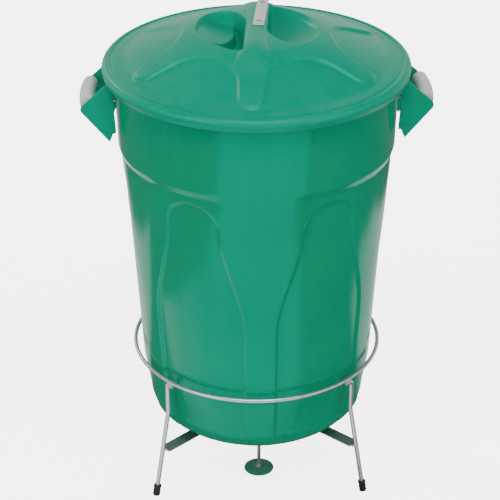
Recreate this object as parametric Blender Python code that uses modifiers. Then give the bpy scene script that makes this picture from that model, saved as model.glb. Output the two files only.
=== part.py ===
"""Gravity game feeder: a lidded plastic bin in a steel rod stand, with a pendulum that lets grain out.

Metres, +Z up. The origin is on the ground under the middle of the bin, the front is -Y and the
handles are on the X axis.
"""

from math import acos, asin, atan2, cos, degrees, pi, radians, sin, sqrt, tan

import bmesh
import bpy
from mathutils import Matrix, Vector

# Clearances between neighbouring pieces
GAP = 0.0003
FIT = 0.0004
HOLE_PAST = 0.010

# Stand
RING_RADIUS = 0.2138
RING_Z = 0.224
RING_ROD = 0.0035
LEG_ROD = 0.0040
LEG_TURN = 42.8
LEG_ANGLES = {
    "front_left": LEG_TURN - 180.0,
    "front_right": -LEG_TURN,
    "rear_right": LEG_TURN,
    "rear_left": 180.0 - LEG_TURN,
}
LEG_BEND_Z = 0.160
LEG_BEND_RADIUS = 0.030
LEG_WELD_LENGTH = 0.012
LEG_TOP_RADIUS = 0.006
FOOT_RADIUS = 0.2475
CAP_RADIUS = 0.0064
CAP_LENGTH = 0.022
CAP_FLOOR = 0.004
CROSS_STRAP_WIDTH = 0.022
CROSS_STRAP_THICKNESS = 0.003

# Bin
BIN_WALL = 0.003
BIN_FLOOR_Z = 0.092
BIN_RIM_Z = 0.748
BIN_RIM_BEAD = 0.0030
BIN_BEAD_HEIGHT = 0.010
BAND_TOP_RADIUS = 0.2338
BAND_BOTTOM_RADIUS = 0.2295
BAND_BOTTOM_Z = 0.606
SHOULDER_BOTTOM_Z = 0.568
SHOULDER_BOTTOM_RADIUS = 0.2200
TAPER_BREAK_Z = 0.207
TAPER_BREAK_RADIUS = 0.1994
LOW_RADIUS = 0.1890
BASE_ROUNDING = 0.050
BIN_STEPS = 48

# Lid
LID_WALL = 0.0025
RIM_RADIUS = 0.2525
RIM_MIDDLE_Z = 0.742
SKIRT_Z = 0.732
SKIRT_RADIUS = 0.2500
DOME_EDGE_RADIUS = 0.2380
DOME_EDGE_Z = 0.751
DOME_POINTS = ((0.200, 0.7675), (0.150, 0.7865), (0.117, 0.7993), (0.100, 0.8045), (0.070, 0.8085))
DOME_TOP_Z = 0.8105
BRIDGE_HALF_WIDTH = 0.018
BRIDGE_TOP_Z = 0.8135
BRIDGE_TOP_HALF = 0.096
BRIDGE_FOOT_HALF = 0.136
BRIDGE_FOOT_Z = 0.790
BRIDGE_BASE_Z = 0.775
BRIDGE_ROUNDING = 0.030
RECESS_OUTER_X = 0.104
RECESS_SQUARE_END = 0.098
RECESS_SQUARE_POWER = 1.6
RECESS_ROUND_END = 0.066
RECESS_ROUND_CENTRE_X = 0.060
RECESS_DEEP_Z = 0.768
RECESS_SHALLOW_Z = 0.795
RECESS_CUT_LOW_Z = 0.740
RECESS_CUT_TOP_Z = 0.850
LID_TURN = -4.0

# Lid strap, flat on the bridge from the middle of the lid to behind the bridge, and slightly askew on it
STRAP_HALF_WIDTH = 0.0092
STRAP_THICKNESS = 0.0024
STRAP_FRONT_Y = -0.015
STRAP_REAR_Y = 0.112
STRAP_BOLT_Y = {"front": -0.006, "rear": 0.078}
STRAP_TURN = -2.2
STRAP_X = 0.0040

# Handles, as the right-hand one
EAR_OUTER_Y = 0.0520
EAR_THICKNESS = 0.0030
EAR_INNER_X = 0.2200
EAR_TOP_Z = 0.7305
EAR_TOP_X = 0.2425
EAR_CORNER_X, EAR_CORNER_Z = 0.2905, 0.6870
EAR_TIP_X, EAR_TIP_Z = 0.2410, 0.6275
EAR_CORNER_ROUNDING = 0.0090
NOTCH_X, NOTCH_Z, NOTCH_RADIUS = 0.2303, 0.6385, 0.0064
BACK_HALF_WIDTH = 0.0640
BACK_THICKNESS = 0.0032
BACK_LOW_Z = 0.6450
BACK_TOP_Z = 0.7290
GRIP_RADIUS = 0.0125
GRIP_CENTRE_RADIUS = 0.2780
GRIP_Z = 0.6925
GRIP_END_Y = 0.0460
HANDLE_SCREW_Y = 0.0220
HANDLE_SCREW_Z = 0.6900

# Outlet, in the flat of the floor between the two front legs
OUTLET_Y = -0.120
BORE_RADIUS = 0.0160
TUBE_RADIUS = 0.0185
FLANGE_RADIUS = 0.0270
FLANGE_THICKNESS = 0.0030
GASKET_THICKNESS = 0.0020
SPOUT_LIP = 0.0045
LOCKNUT_RADIUS = 0.0245
LOCKNUT_HEIGHT = 0.0060
SPOT_FACE_PAST = 0.0010
SPOUT_TOP_ABOVE_FLOOR = 0.0080

# Hanger bridge over the outlet
HANGER_WIDTH = 0.016
HANGER_THICKNESS = 0.003
HANGER_HALF_SPAN = 0.038
HANGER_FOOT_END = 0.054
HANGER_BOLT_X = 0.0465
HANGER_TOP_Z = 0.207

# Pendulum
ROD_RADIUS = 0.00325
EYE_RADIUS = 0.0075
LINK_ROD = 0.0020
LINK_HALF_WIDTH = 0.0075
LINK_HEIGHT = 0.0200
LINK_PIVOT_Z = 0.180
ROD_TIP_Z = 0.0055
VALVE_Z = 0.1075
VALVE_RADIUS = 0.0190
VALVE_THICKNESS = 0.0030
DISC_Z = 0.0220
DISC_RADIUS = 0.0262
DISC_THICKNESS = 0.0024
ROD_NUT_HEIGHT = 0.0045
ROD_NUT_RADIUS = 0.0062

# Small fasteners, M5
BOLT_RADIUS = 0.0024
BOLT_HOLE = 0.0028
BOLT_HEAD_RADIUS = 0.0048
BOLT_HEAD_HEIGHT = 0.0030
NUT_RADIUS = 0.0047
NUT_HEIGHT = 0.0040
BOLT_PAST_NUT = 0.0020

COLOURS = {
    "green_plastic": ((0.0, 0.345, 0.200, 1.0), 0.25, 0.0),
    "lid_plastic": ((0.012, 0.400, 0.270, 1.0), 0.30, 0.0),
    "grey_grip": ((0.50, 0.51, 0.50, 1.0), 0.45, 0.0),
    "stand_steel": ((0.60, 0.62, 0.63, 1.0), 0.35, 0.9),
    "galvanised_strap": ((0.58, 0.57, 0.57, 1.0), 0.40, 0.9),
    "zinc_fastener": ((0.62, 0.62, 0.60, 1.0), 0.30, 1.0),
    "pendulum_steel": ((0.25, 0.29, 0.27, 1.0), 0.40, 0.9),
    "disc_green": ((0.030, 0.180, 0.120, 1.0), 0.45, 0.0),
    "black_rubber": ((0.015, 0.015, 0.015, 1.0), 0.70, 0.0),
    "spout_plastic": ((0.040, 0.045, 0.045, 1.0), 0.40, 0.0),
}


# ---------------------------------------------------------------- scene and materials


def clear_scene():
    for obj in list(bpy.data.objects):
        bpy.data.objects.remove(obj, do_unlink=True)


def new_collection(name):
    collection = bpy.data.collections.new(name)
    bpy.context.scene.collection.children.link(collection)
    return collection


def material(name):
    found = bpy.data.materials.get(name)
    if found:
        return found
    colour, roughness, metallic = COLOURS[name]
    made = bpy.data.materials.new(name)
    made.use_nodes = True
    shader = made.node_tree.nodes["Principled BSDF"]
    shader.inputs["Base Color"].default_value = colour
    shader.inputs["Roughness"].default_value = roughness
    shader.inputs["Metallic"].default_value = metallic
    return made


clear_scene()
PARTS = new_collection("gravity_game_feeder")
CUTTERS = new_collection("cutters")


def place(name, data, finish=None):
    """A new object: a part when it has a finish, and otherwise a cutter."""
    obj = bpy.data.objects.new(name, data)
    if finish:
        PARTS.objects.link(obj)
        data.materials.append(material(finish))
    else:
        CUTTERS.objects.link(obj)
        obj.hide_render = True
        obj.display_type = "WIRE"
    return obj


# ---------------------------------------------------------------- shape helpers


def turned(name, profile, finish=None, steps=24):
    """A turned shape: (radius, z) points that run down the outer side."""
    mesh = bpy.data.meshes.new(name)
    points = [(radius, 0.0, z) for radius, z in profile]
    edges = [(i, i + 1) for i in range(len(points) - 1)]
    closed = profile[0][0] > 0.0 or profile[-1][0] > 0.0
    if closed:
        edges.append((len(points) - 1, 0))
    mesh.from_pydata(points, edges, [])
    obj = place(name, mesh, finish)
    screw = obj.modifiers.new("turn", "SCREW")
    screw.steps = steps
    screw.render_steps = steps
    screw.use_merge_vertices = True
    screw.merge_threshold = 0.00001
    screw.use_smooth_shade = True
    return obj


def tube(name, points, radius, finish=None, closed=False, resolution=2):
    """A round rod along the points."""
    curve = bpy.data.curves.new(name, "CURVE")
    curve.dimensions = "3D"
    curve.bevel_depth = radius
    curve.bevel_resolution = resolution
    curve.use_fill_caps = not closed
    spline = curve.splines.new("POLY")
    spline.points.add(len(points) - 1)
    for point, where in zip(spline.points, points):
        point.co = (*where, 1.0)
    spline.use_cyclic_u = closed
    return place(name, curve, finish)


def flat_plate(name, outline, thickness, rotation=(0.0, 0.0, 0.0), location=(0.0, 0.0, 0.0), finish=None):
    """A flat outline given a thickness, as a mesh so that it can be cut and joined."""
    curve = bpy.data.curves.new(name, "CURVE")
    curve.dimensions = "2D"
    curve.fill_mode = "BOTH"
    curve.extrude = thickness / 2
    spline = curve.splines.new("POLY")
    spline.points.add(len(outline) - 1)
    for point, (x, y) in zip(spline.points, outline):
        point.co = (x, y, 0.0, 1.0)
    spline.use_cyclic_u = True
    guide = bpy.data.objects.new(name + "_outline", curve)
    CUTTERS.objects.link(guide)
    guide.rotation_euler = rotation
    guide.location = location
    bpy.context.view_layer.update()
    graph = bpy.context.evaluated_depsgraph_get()
    mesh = bpy.data.meshes.new_from_object(guide.evaluated_get(graph))
    mesh.name = name
    mesh.materials.clear()
    weld(mesh)
    obj = place(name, mesh, finish)
    obj.matrix_world = guide.matrix_world.copy()
    bpy.data.objects.remove(guide, do_unlink=True)
    return obj


def weld(mesh):
    work = bmesh.new()
    work.from_mesh(mesh)
    bmesh.ops.remove_doubles(work, verts=work.verts, dist=0.000001)
    bmesh.ops.recalc_face_normals(work, faces=work.faces)
    work.to_mesh(mesh)
    work.free()


def cylinder(name, radius, low, high, finish=None, segments=16):
    """A solid cylinder from the point low to the point high."""
    low, high = Vector(low), Vector(high)
    mesh = bpy.data.meshes.new(name)
    work = bmesh.new()
    bmesh.ops.create_cone(
        work,
        cap_ends=True,
        segments=segments,
        radius1=radius,
        radius2=radius,
        depth=(high - low).length,
    )
    work.to_mesh(mesh)
    work.free()
    obj = place(name, mesh, finish)
    obj.location = (low + high) / 2
    obj.rotation_euler = (high - low).to_track_quat("Z", "Y").to_euler()
    return obj


def box(name, low, high, finish=None):
    mesh = bpy.data.meshes.new(name)
    work = bmesh.new()
    bmesh.ops.create_cube(work, size=1.0)
    size = Vector(high) - Vector(low)
    bmesh.ops.scale(work, vec=size, verts=work.verts)
    work.to_mesh(mesh)
    work.free()
    obj = place(name, mesh, finish)
    obj.location = (Vector(low) + Vector(high)) / 2
    return obj


def boolean(obj, other, operation):
    modifier = obj.modifiers.new(operation.lower() + "_" + other.name, "BOOLEAN")
    modifier.operation = operation
    modifier.solver = "EXACT"
    modifier.object = other


def cut(obj, *others):
    for other in others:
        boolean(obj, other, "DIFFERENCE")


def join(obj, *others):
    for other in others:
        boolean(obj, other, "UNION")


def arc(centre_x, centre_y, radius, start, end, steps):
    """Points of an arc, with its angles in degrees."""
    angles = [radians(start + (end - start) * i / steps) for i in range(steps + 1)]
    return [(centre_x + radius * cos(a), centre_y + radius * sin(a)) for a in angles]


def rounded(corners, steps=4):
    """An outline from corners (x, y, rounding radius), each rounded corner as an arc."""
    outline = []
    for i, (x, y, radius) in enumerate(corners):
        here = Vector((x, y))
        if radius == 0.0:
            outline.append((x, y))
            continue
        before = Vector(corners[i - 1][:2]) - here
        after = Vector(corners[(i + 1) % len(corners)][:2]) - here
        before.normalize()
        after.normalize()
        half = before.angle(after) / 2
        centre = here + (before + after).normalized() * radius / sin(half)
        first = here + before * radius / tan(half) - centre
        last = here + after * radius / tan(half) - centre
        start = atan2(first.y, first.x)
        turn = (atan2(last.y, last.x) - start + pi) % (2 * pi) - pi
        for step in range(steps + 1):
            angle = start + turn * step / steps
            outline.append((centre.x + radius * cos(angle), centre.y + radius * sin(angle)))
    return outline


def bent_strip(centre_line, thickness):
    """The outline of a strip of this thickness, bent along its centre line."""
    points = [Vector(point) for point in centre_line]
    left, right = [], []
    for i, here in enumerate(points):
        before = (here - points[max(i - 1, 0)]).normalized()
        after = (points[min(i + 1, len(points) - 1)] - here).normalized()
        along = (before + after).normalized()
        bend = along.dot(after if i < len(points) - 1 else before)
        side = Vector((-along.y, along.x)) * thickness / 2 / bend
        left.append(tuple(here + side))
        right.append(tuple(here - side))
    return left + right[::-1]


def pan_bolt(name, head_seat, nut_end, radius=BOLT_RADIUS):
    """A pan-head bolt from the seat of its head to the far end of its shank."""
    seat, end = Vector(head_seat), Vector(nut_end)
    length = (end - seat).length
    head = BOLT_HEAD_RADIUS
    profile = [
        (0.0, BOLT_HEAD_HEIGHT),
        (head * 0.6, BOLT_HEAD_HEIGHT * 0.93),
        (head, BOLT_HEAD_HEIGHT * 0.45),
        (head, 0.0),
        (radius, 0.0),
        (radius, -length),
        (0.0, -length),
    ]
    obj = turned(name, profile, "zinc_fastener", steps=12)
    obj.location = seat
    obj.rotation_euler = (seat - end).to_track_quat("Z", "Y").to_euler()
    return obj


def bolt_hole(name, low, high):
    return cylinder(name, BOLT_HOLE, low, high, segments=12)


def hex_nut(name, low, high, radius, hole, finish="zinc_fastener"):
    obj = cylinder(name, radius, low, high, finish, segments=6)
    past = (Vector(high) - Vector(low)).normalized() * HOLE_PAST
    cut(obj, cylinder(name + "_hole", hole, Vector(low) - past, Vector(high) + past, segments=12))
    return obj


def about_z(turn):
    return Matrix.Rotation(turn, 4, "Z")


def spin(angle, radius, z):
    """A point at this angle in degrees, 0 along +X."""
    return Vector((radius * cos(radians(angle)), radius * sin(radians(angle)), z))


def axis_empty(name, where):
    """An empty on the axis of a joint, which carries the pieces that move with it."""
    empty = bpy.data.objects.new(name, None)
    PARTS.objects.link(empty)
    empty.location = where
    return empty


def carry(empty, *pieces):
    """The pieces keep their places and move with the empty."""
    for piece in pieces:
        piece.parent = empty
        piece.matrix_parent_inverse = Matrix.Translation(-empty.location)


# ---------------------------------------------------------------- stand


def stand_ring():
    points = [spin(360 * i / 64, RING_RADIUS, RING_Z) for i in range(64)]
    tube("stand_ring", points, RING_ROD, "stand_steel", closed=True)


def leg_direction(angle):
    """Unit vector up the splayed lower part of a leg."""
    return (spin(angle, RING_RADIUS, LEG_BEND_Z) - spin(angle, FOOT_RADIUS, 0.0)).normalized()


def leg_points(angle):
    """The leg's centre line: foot, bend, vertical part, and a short end welded under the ring.

    The welded end runs along the ring towards the middle of the front or of the rear.
    """
    outward = spin(angle, 1.0, 0.0)
    lower = leg_direction(angle)
    bend = spin(angle, RING_RADIUS, LEG_BEND_Z)
    splay = acos(lower.z)
    tangent = LEG_BEND_RADIUS * tan(splay / 2)
    centre = bend + Vector((0.0, 0.0, tangent)) + outward * LEG_BEND_RADIUS
    points = [bend - lower * (LEG_BEND_Z / lower.z) + lower * CAP_FLOOR * 1.3]
    for step in range(5):
        turn = splay * (1 - step / 4)
        inward = outward * -LEG_BEND_RADIUS * cos(turn)
        points.append(centre + inward - Vector((0.0, 0.0, LEG_BEND_RADIUS * sin(turn))))
    weld_z = RING_Z - RING_ROD - LEG_ROD - GAP
    towards_middle = 1.0 if cos(radians(angle)) * sin(radians(angle)) > 0 else -1.0
    for step in range(5):
        turn = radians(90 * step / 4)
        around = towards_middle * LEG_TOP_RADIUS * (1 - cos(turn)) / RING_RADIUS
        z = weld_z - LEG_TOP_RADIUS * (1 - sin(turn))
        points.append(spin(angle + degrees(around), RING_RADIUS, z))
    around = towards_middle * (LEG_TOP_RADIUS + LEG_WELD_LENGTH) / RING_RADIUS
    points.append(spin(angle + degrees(around), RING_RADIUS, weld_z))
    return points


def legs():
    for side, angle in LEG_ANGLES.items():
        tube("leg_" + side, leg_points(angle), LEG_ROD, "stand_steel")


def foot_caps():
    ground = box("ground_cutter", (-0.4, -0.4, -0.05), (0.4, 0.4, 0.0))
    socket = LEG_ROD + FIT
    profile = [
        (0.0, CAP_FLOOR),
        (socket, CAP_FLOOR),
        (socket, CAP_LENGTH),
        (CAP_RADIUS - 0.0006, CAP_LENGTH),
        (CAP_RADIUS, CAP_LENGTH - 0.0015),
        (CAP_RADIUS, -0.004),
        (0.0, -0.004),
    ]
    for side, angle in LEG_ANGLES.items():
        cap = turned("foot_cap_" + side, profile, "black_rubber", steps=16)
        cap.location = spin(angle, FOOT_RADIUS, 0.0)
        cap.rotation_euler = leg_direction(angle).to_track_quat("Z", "Y").to_euler()
        cut(cap, ground)


def cross_straps():
    """Two straps between opposite legs. The bin stands on the upper one, which crosses over the other."""
    leg_radius = RING_RADIUS + (LEG_BEND_Z - BIN_FLOOR_Z) / LEG_BEND_Z * (FOOT_RADIUS - RING_RADIUS)
    half_length = leg_radius - LEG_ROD - 3 * GAP
    top = BIN_FLOOR_Z - GAP
    for name, angle in (("cross_strap_upper", -LEG_TURN), ("cross_strap_lower", LEG_TURN)):
        low = (-half_length, -CROSS_STRAP_WIDTH / 2, top - CROSS_STRAP_THICKNESS)
        high = (half_length, CROSS_STRAP_WIDTH / 2, top)
        strap = box(name, low, high, "stand_steel")
        strap.rotation_euler = (0.0, 0.0, radians(angle))
        top -= CROSS_STRAP_THICKNESS + GAP


# ---------------------------------------------------------------- bin


def wall_radius(z):
    """Outer radius of the bin's side at a height."""
    knots = (
        (BIN_RIM_Z, BAND_TOP_RADIUS),
        (BAND_BOTTOM_Z, BAND_BOTTOM_RADIUS),
        (SHOULDER_BOTTOM_Z, SHOULDER_BOTTOM_RADIUS),
        (TAPER_BREAK_Z, TAPER_BREAK_RADIUS),
        (BIN_FLOOR_Z + BASE_ROUNDING, LOW_RADIUS),
    )
    for (high, wide), (low, narrow) in zip(knots, knots[1:]):
        if z >= low:
            return narrow + (wide - narrow) * (z - low) / (high - low)
    return LOW_RADIUS


def bin_side(offset):
    """Profile of the side from the rim down, moved in by the offset, with its bottom rounding."""
    heights = (BIN_RIM_Z, BAND_BOTTOM_Z, SHOULDER_BOTTOM_Z, TAPER_BREAK_Z)
    side = [(wall_radius(z) - offset, z) for z in heights]
    centre = LOW_RADIUS - BASE_ROUNDING
    corner = arc(centre, BIN_FLOOR_Z + BASE_ROUNDING, BASE_ROUNDING - offset, 0.0, -90.0, 8)
    return side + corner + [(0.0, BIN_FLOOR_Z + offset)]


def bin_outer(grow):
    """Profile of the bin's outside with the bead under its rim, grown by a clearance."""
    bead = BAND_TOP_RADIUS + BIN_RIM_BEAD + grow
    bead_low = BIN_RIM_Z - BIN_BEAD_HEIGHT - grow
    side = bin_side(-grow)
    under_bead = (wall_radius(bead_low) + grow, bead_low - BIN_RIM_BEAD)
    return [(bead, BIN_RIM_Z + grow), (bead, bead_low), under_bead] + side[1:]


def bin_body():
    inner = bin_side(BIN_WALL)[::-1]
    body = turned("bin_body", inner + bin_outer(0.0), "green_plastic", steps=BIN_STEPS)
    below, seat = BIN_FLOOR_Z - HOLE_PAST, BIN_FLOOR_Z + BIN_WALL
    above = seat + HOLE_PAST
    low, high = (0, OUTLET_Y, below), (0, OUTLET_Y, above)
    cut(body, cylinder("outlet_hole", TUBE_RADIUS + FIT, low, high, segments=32))
    low = (0, OUTLET_Y, seat)
    cut(body, cylinder("outlet_spot_face", LOCKNUT_RADIUS + SPOT_FACE_PAST, low, high, segments=32))
    wall = wall_radius(HANDLE_SCREW_Z)
    for side in (-1, 1):
        x = side * HANGER_BOLT_X
        cut(body, bolt_hole(f"hanger_bolt_hole_{side}", (x, OUTLET_Y, below), (x, OUTLET_Y, above)))
        for screw in (-1, 1):
            y = screw * HANDLE_SCREW_Y
            inner = (side * (wall - HOLE_PAST), y, HANDLE_SCREW_Z)
            outer = (side * (wall + HOLE_PAST), y, HANDLE_SCREW_Z)
            cut(body, bolt_hole(f"handle_screw_hole_{side}_{screw}", inner, outer))


# ---------------------------------------------------------------- handles


def ear_outline():
    """One ear plate seen from the front: a kite with a round notch at its lower inner corner."""
    corners = [
        (EAR_INNER_X, EAR_TOP_Z, 0.0),
        (EAR_TOP_X, EAR_TOP_Z, 0.003),
        (EAR_CORNER_X, EAR_CORNER_Z, EAR_CORNER_ROUNDING),
        (EAR_TIP_X, EAR_TIP_Z, 0.0),
    ]
    notch = arc(NOTCH_X, NOTCH_Z, NOTCH_RADIUS, 0.0, 90.0, 5)
    return rounded(corners) + notch + [(EAR_INNER_X, NOTCH_Z + NOTCH_RADIUS)]


def handle_bracket(side, turn):
    """Two ear plates on a curved back plate that follows the bin's wall."""
    low, high = BACK_LOW_Z, BACK_TOP_Z
    ring = [
        (wall_radius(high) + BACK_THICKNESS, high),
        (wall_radius(low) + BACK_THICKNESS, low),
        (wall_radius(low) - 0.001, low),
        (wall_radius(high) - 0.001, high),
    ]
    bracket = turned("handle_bracket_" + side, ring, "green_plastic", steps=96)
    bracket.rotation_euler = (0.0, 0.0, turn)
    reach = RIM_RADIUS + HOLE_PAST
    low, high = (0.0, -BACK_HALF_WIDTH, BIN_FLOOR_Z), (reach, BACK_HALF_WIDTH, BIN_RIM_Z)
    extent = box("bracket_extent_" + side, low, high)
    extent.matrix_world = about_z(turn) @ extent.matrix_basis
    boolean(bracket, extent, "INTERSECT")
    for end in (-1, 1):
        y = end * (EAR_OUTER_Y - EAR_THICKNESS / 2)
        ear = flat_plate(f"ear_{side}_{end}", ear_outline(), EAR_THICKNESS, (pi / 2, 0.0, 0.0), (0.0, y, 0.0))
        ear.matrix_world = about_z(turn) @ ear.matrix_world
        join(bracket, ear)
    cut(bracket, bpy.data.objects["bin_clearance"])
    direction = 1 if side == "right" else -1
    for screw in (-1, 1):
        cut(bracket, bpy.data.objects[f"handle_screw_hole_{direction}_{screw}"])


def handle_grip(side, turn):
    half_angle = degrees(asin(GRIP_END_Y / GRIP_CENTRE_RADIUS))
    points = []
    for step in range(9):
        angle = -half_angle + 2 * half_angle * step / 8
        points.append(spin(angle + degrees(turn), GRIP_CENTRE_RADIUS, GRIP_Z))
    tube("handle_grip_" + side, points, GRIP_RADIUS, "grey_grip", resolution=4)


def handle_screws(side, direction):
    """Two bolts through each back plate, with their nuts inside the bin."""
    plate = wall_radius(HANDLE_SCREW_Z) + BACK_THICKNESS
    inner = wall_radius(HANDLE_SCREW_Z) - BIN_WALL
    seat_x = sqrt(plate**2 - (HANDLE_SCREW_Y - BOLT_HEAD_RADIUS) ** 2) + FIT
    nut_x = sqrt(inner**2 - (HANDLE_SCREW_Y + NUT_RADIUS) ** 2) - FIT
    end_x = nut_x - NUT_HEIGHT - BOLT_PAST_NUT
    for place_name, screw in (("front", -1), ("rear", 1)):
        y = screw * HANDLE_SCREW_Y
        seat = (direction * seat_x, y, HANDLE_SCREW_Z)
        end = (direction * end_x, y, HANDLE_SCREW_Z)
        pan_bolt(f"handle_bolt_{side}_{place_name}", seat, end)
        outer = (direction * nut_x, y, HANDLE_SCREW_Z)
        inside = (direction * (nut_x - NUT_HEIGHT), y, HANDLE_SCREW_Z)
        hex_nut(f"handle_nut_{side}_{place_name}", outer, inside, NUT_RADIUS, BOLT_RADIUS + FIT)


def handles():
    turned("bin_clearance", [(0.0, BIN_RIM_Z + GAP)] + bin_outer(GAP), steps=BIN_STEPS)
    for side, turn, direction in (("right", 0.0, 1), ("left", pi, -1)):
        handle_bracket(side, turn)
        handle_grip(side, turn)
        handle_screws(side, direction)


# ---------------------------------------------------------------- lid


def lid_outer_profile():
    rim = [
        (DOME_EDGE_RADIUS, DOME_EDGE_Z),
        (0.2440, DOME_EDGE_Z - 0.0005),
        (0.2495, DOME_EDGE_Z - 0.0035),
        (RIM_RADIUS, RIM_MIDDLE_Z),
        (0.2517, RIM_MIDDLE_Z - 0.0060),
        (SKIRT_RADIUS, SKIRT_Z),
    ]
    return [(0.0, DOME_TOP_Z)] + list(DOME_POINTS[::-1]) + rim + [(0.0, SKIRT_Z)]


def lid_cavity_profile():
    rim = [
        (DOME_EDGE_RADIUS - 0.001, DOME_EDGE_Z - LID_WALL),
        (0.2440, DOME_EDGE_Z - LID_WALL - 0.001),
        (0.2482, RIM_MIDDLE_Z),
        (0.2476, SKIRT_Z - 0.002),
    ]
    dome = [(radius, z - LID_WALL) for radius, z in DOME_POINTS[::-1]]
    return [(0.0, DOME_TOP_Z - LID_WALL)] + dome + rim + [(0.0, SKIRT_Z - 0.002)]


def bridge_block(name, offset):
    """The raised bridge between the finger recesses, made smaller all round by the offset."""
    top = BRIDGE_TOP_Z - offset
    foot = BRIDGE_FOOT_Z - offset
    corners = [
        (-BRIDGE_FOOT_HALF, BRIDGE_BASE_Z, 0.0),
        (BRIDGE_FOOT_HALF, BRIDGE_BASE_Z, 0.0),
        (BRIDGE_FOOT_HALF, foot, 0.0),
        (BRIDGE_TOP_HALF, top, BRIDGE_ROUNDING),
        (-BRIDGE_TOP_HALF, top, BRIDGE_ROUNDING),
        (-BRIDGE_FOOT_HALF, foot, 0.0),
    ]
    width = 2 * (BRIDGE_HALF_WIDTH - offset)
    return flat_plate(name, rounded(corners), width, (pi / 2, 0.0, pi / 2))


def recess_floor(x, offset):
    """Height of a recess floor: deep beside the bridge, shallow at its outer end."""
    along = (abs(x) - BRIDGE_HALF_WIDTH) / (RECESS_OUTER_X - BRIDGE_HALF_WIDTH)
    return RECESS_DEEP_Z + (RECESS_SHALLOW_Z - RECESS_DEEP_Z) * along - offset


def recess_outline(offset):
    """The right-hand recess seen from above, larger all round by the offset.

    Its straight side runs along the bridge, to a square corner at the rear and a rounded one in front.
    """
    straight = BRIDGE_HALF_WIDTH - offset
    reach = RECESS_OUTER_X + offset - straight
    power = RECESS_SQUARE_POWER
    outline = []
    for step in range(9):
        across = sin(radians(90 * step / 9))
        along = (RECESS_SQUARE_END + offset) * (1 - across**power) ** (1 / power)
        outline.append((straight + reach * across, along))
    half_length = RECESS_OUTER_X - RECESS_ROUND_CENTRE_X + offset
    half_width = RECESS_ROUND_END + offset
    last = acos((straight - RECESS_ROUND_CENTRE_X) / half_length)
    for step in range(11):
        angle = -last * step / 10
        outline.append((RECESS_ROUND_CENTRE_X + half_length * cos(angle), half_width * sin(angle)))
    return outline


def recess_block(name, side, offset):
    """A finger recess as a solid. The left one is the right one turned half round."""
    outline = [(side * x, side * y) for x, y in recess_outline(offset)]
    middle = (RECESS_CUT_LOW_Z + RECESS_CUT_TOP_Z) / 2
    height = RECESS_CUT_TOP_Z - RECESS_CUT_LOW_Z
    block = flat_plate(name, outline, height, location=(0.0, 0.0, middle))
    for vertex in block.data.vertices:
        if vertex.co.z < 0.0:
            vertex.co.z = recess_floor(vertex.co.x, offset) - middle
    return block


def strap_x(y):
    """Where the middle of the strap is at this y, before the lid is turned."""
    return STRAP_X - y * tan(radians(STRAP_TURN))


def lid():
    """The lid is a closed form less its recesses, less the hollow under it."""
    cover = turned("lid", lid_outer_profile(), "lid_plastic", steps=BIN_STEPS)
    hollow = turned("lid_hollow", lid_cavity_profile(), steps=BIN_STEPS)
    join(cover, bridge_block("bridge_form", 0.0))
    join(hollow, bridge_block("bridge_hollow", LID_WALL))
    for side in (-1, 1):
        cut(cover, recess_block(f"recess_{side}", side, 0.0))
        cut(hollow, recess_block(f"recess_wall_{side}", side, LID_WALL))
    cut(cover, hollow)
    for end, y in STRAP_BOLT_Y.items():
        low, high = (strap_x(y), y, BRIDGE_TOP_Z - HOLE_PAST), (strap_x(y), y, BRIDGE_TOP_Z + HOLE_PAST)
        cut(cover, bolt_hole("strap_bolt_hole_" + end, low, high))


def lid_strap():
    """A flat bar along the bridge of the lid, with a bolt near each end of the bridge."""
    low = BRIDGE_TOP_Z + GAP
    top = low + STRAP_THICKNESS
    width = STRAP_HALF_WIDTH
    corner = 0.002
    corners = [
        (-width, STRAP_FRONT_Y, corner),
        (width, STRAP_FRONT_Y, corner),
        (width, STRAP_REAR_Y, corner),
        (-width, STRAP_REAR_Y, corner),
    ]
    where = (STRAP_X, 0.0, (low + top) / 2)
    turn = (0.0, 0.0, radians(STRAP_TURN))
    strap = flat_plate("lid_strap", rounded(corners), STRAP_THICKNESS, turn, where, "galvanised_strap")
    nut_top = BRIDGE_TOP_Z - LID_WALL - GAP
    nut_low = nut_top - NUT_HEIGHT
    for end, y in STRAP_BOLT_Y.items():
        cut(strap, bpy.data.objects["strap_bolt_hole_" + end])
        x = strap_x(y)
        pan_bolt("strap_bolt_" + end, (x, y, top + GAP), (x, y, nut_low - BOLT_PAST_NUT))
        hex_nut("strap_nut_" + end, (x, y, nut_low), (x, y, nut_top), NUT_RADIUS, BOLT_RADIUS + FIT)


def turn_lid_group():
    """The lid sits on the bin turned a little, with everything on it and every cutter of it."""
    axis = axis_empty("lid_axis", (0.0, 0.0, 0.0))
    axis.rotation_euler.z = radians(LID_TURN)
    group = ("lid", "strap_", "bridge_form", "bridge_hollow", "recess_")
    for obj in bpy.data.objects:
        if obj.name.startswith(group) and obj != axis:
            obj.parent = axis


# ---------------------------------------------------------------- outlet


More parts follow.
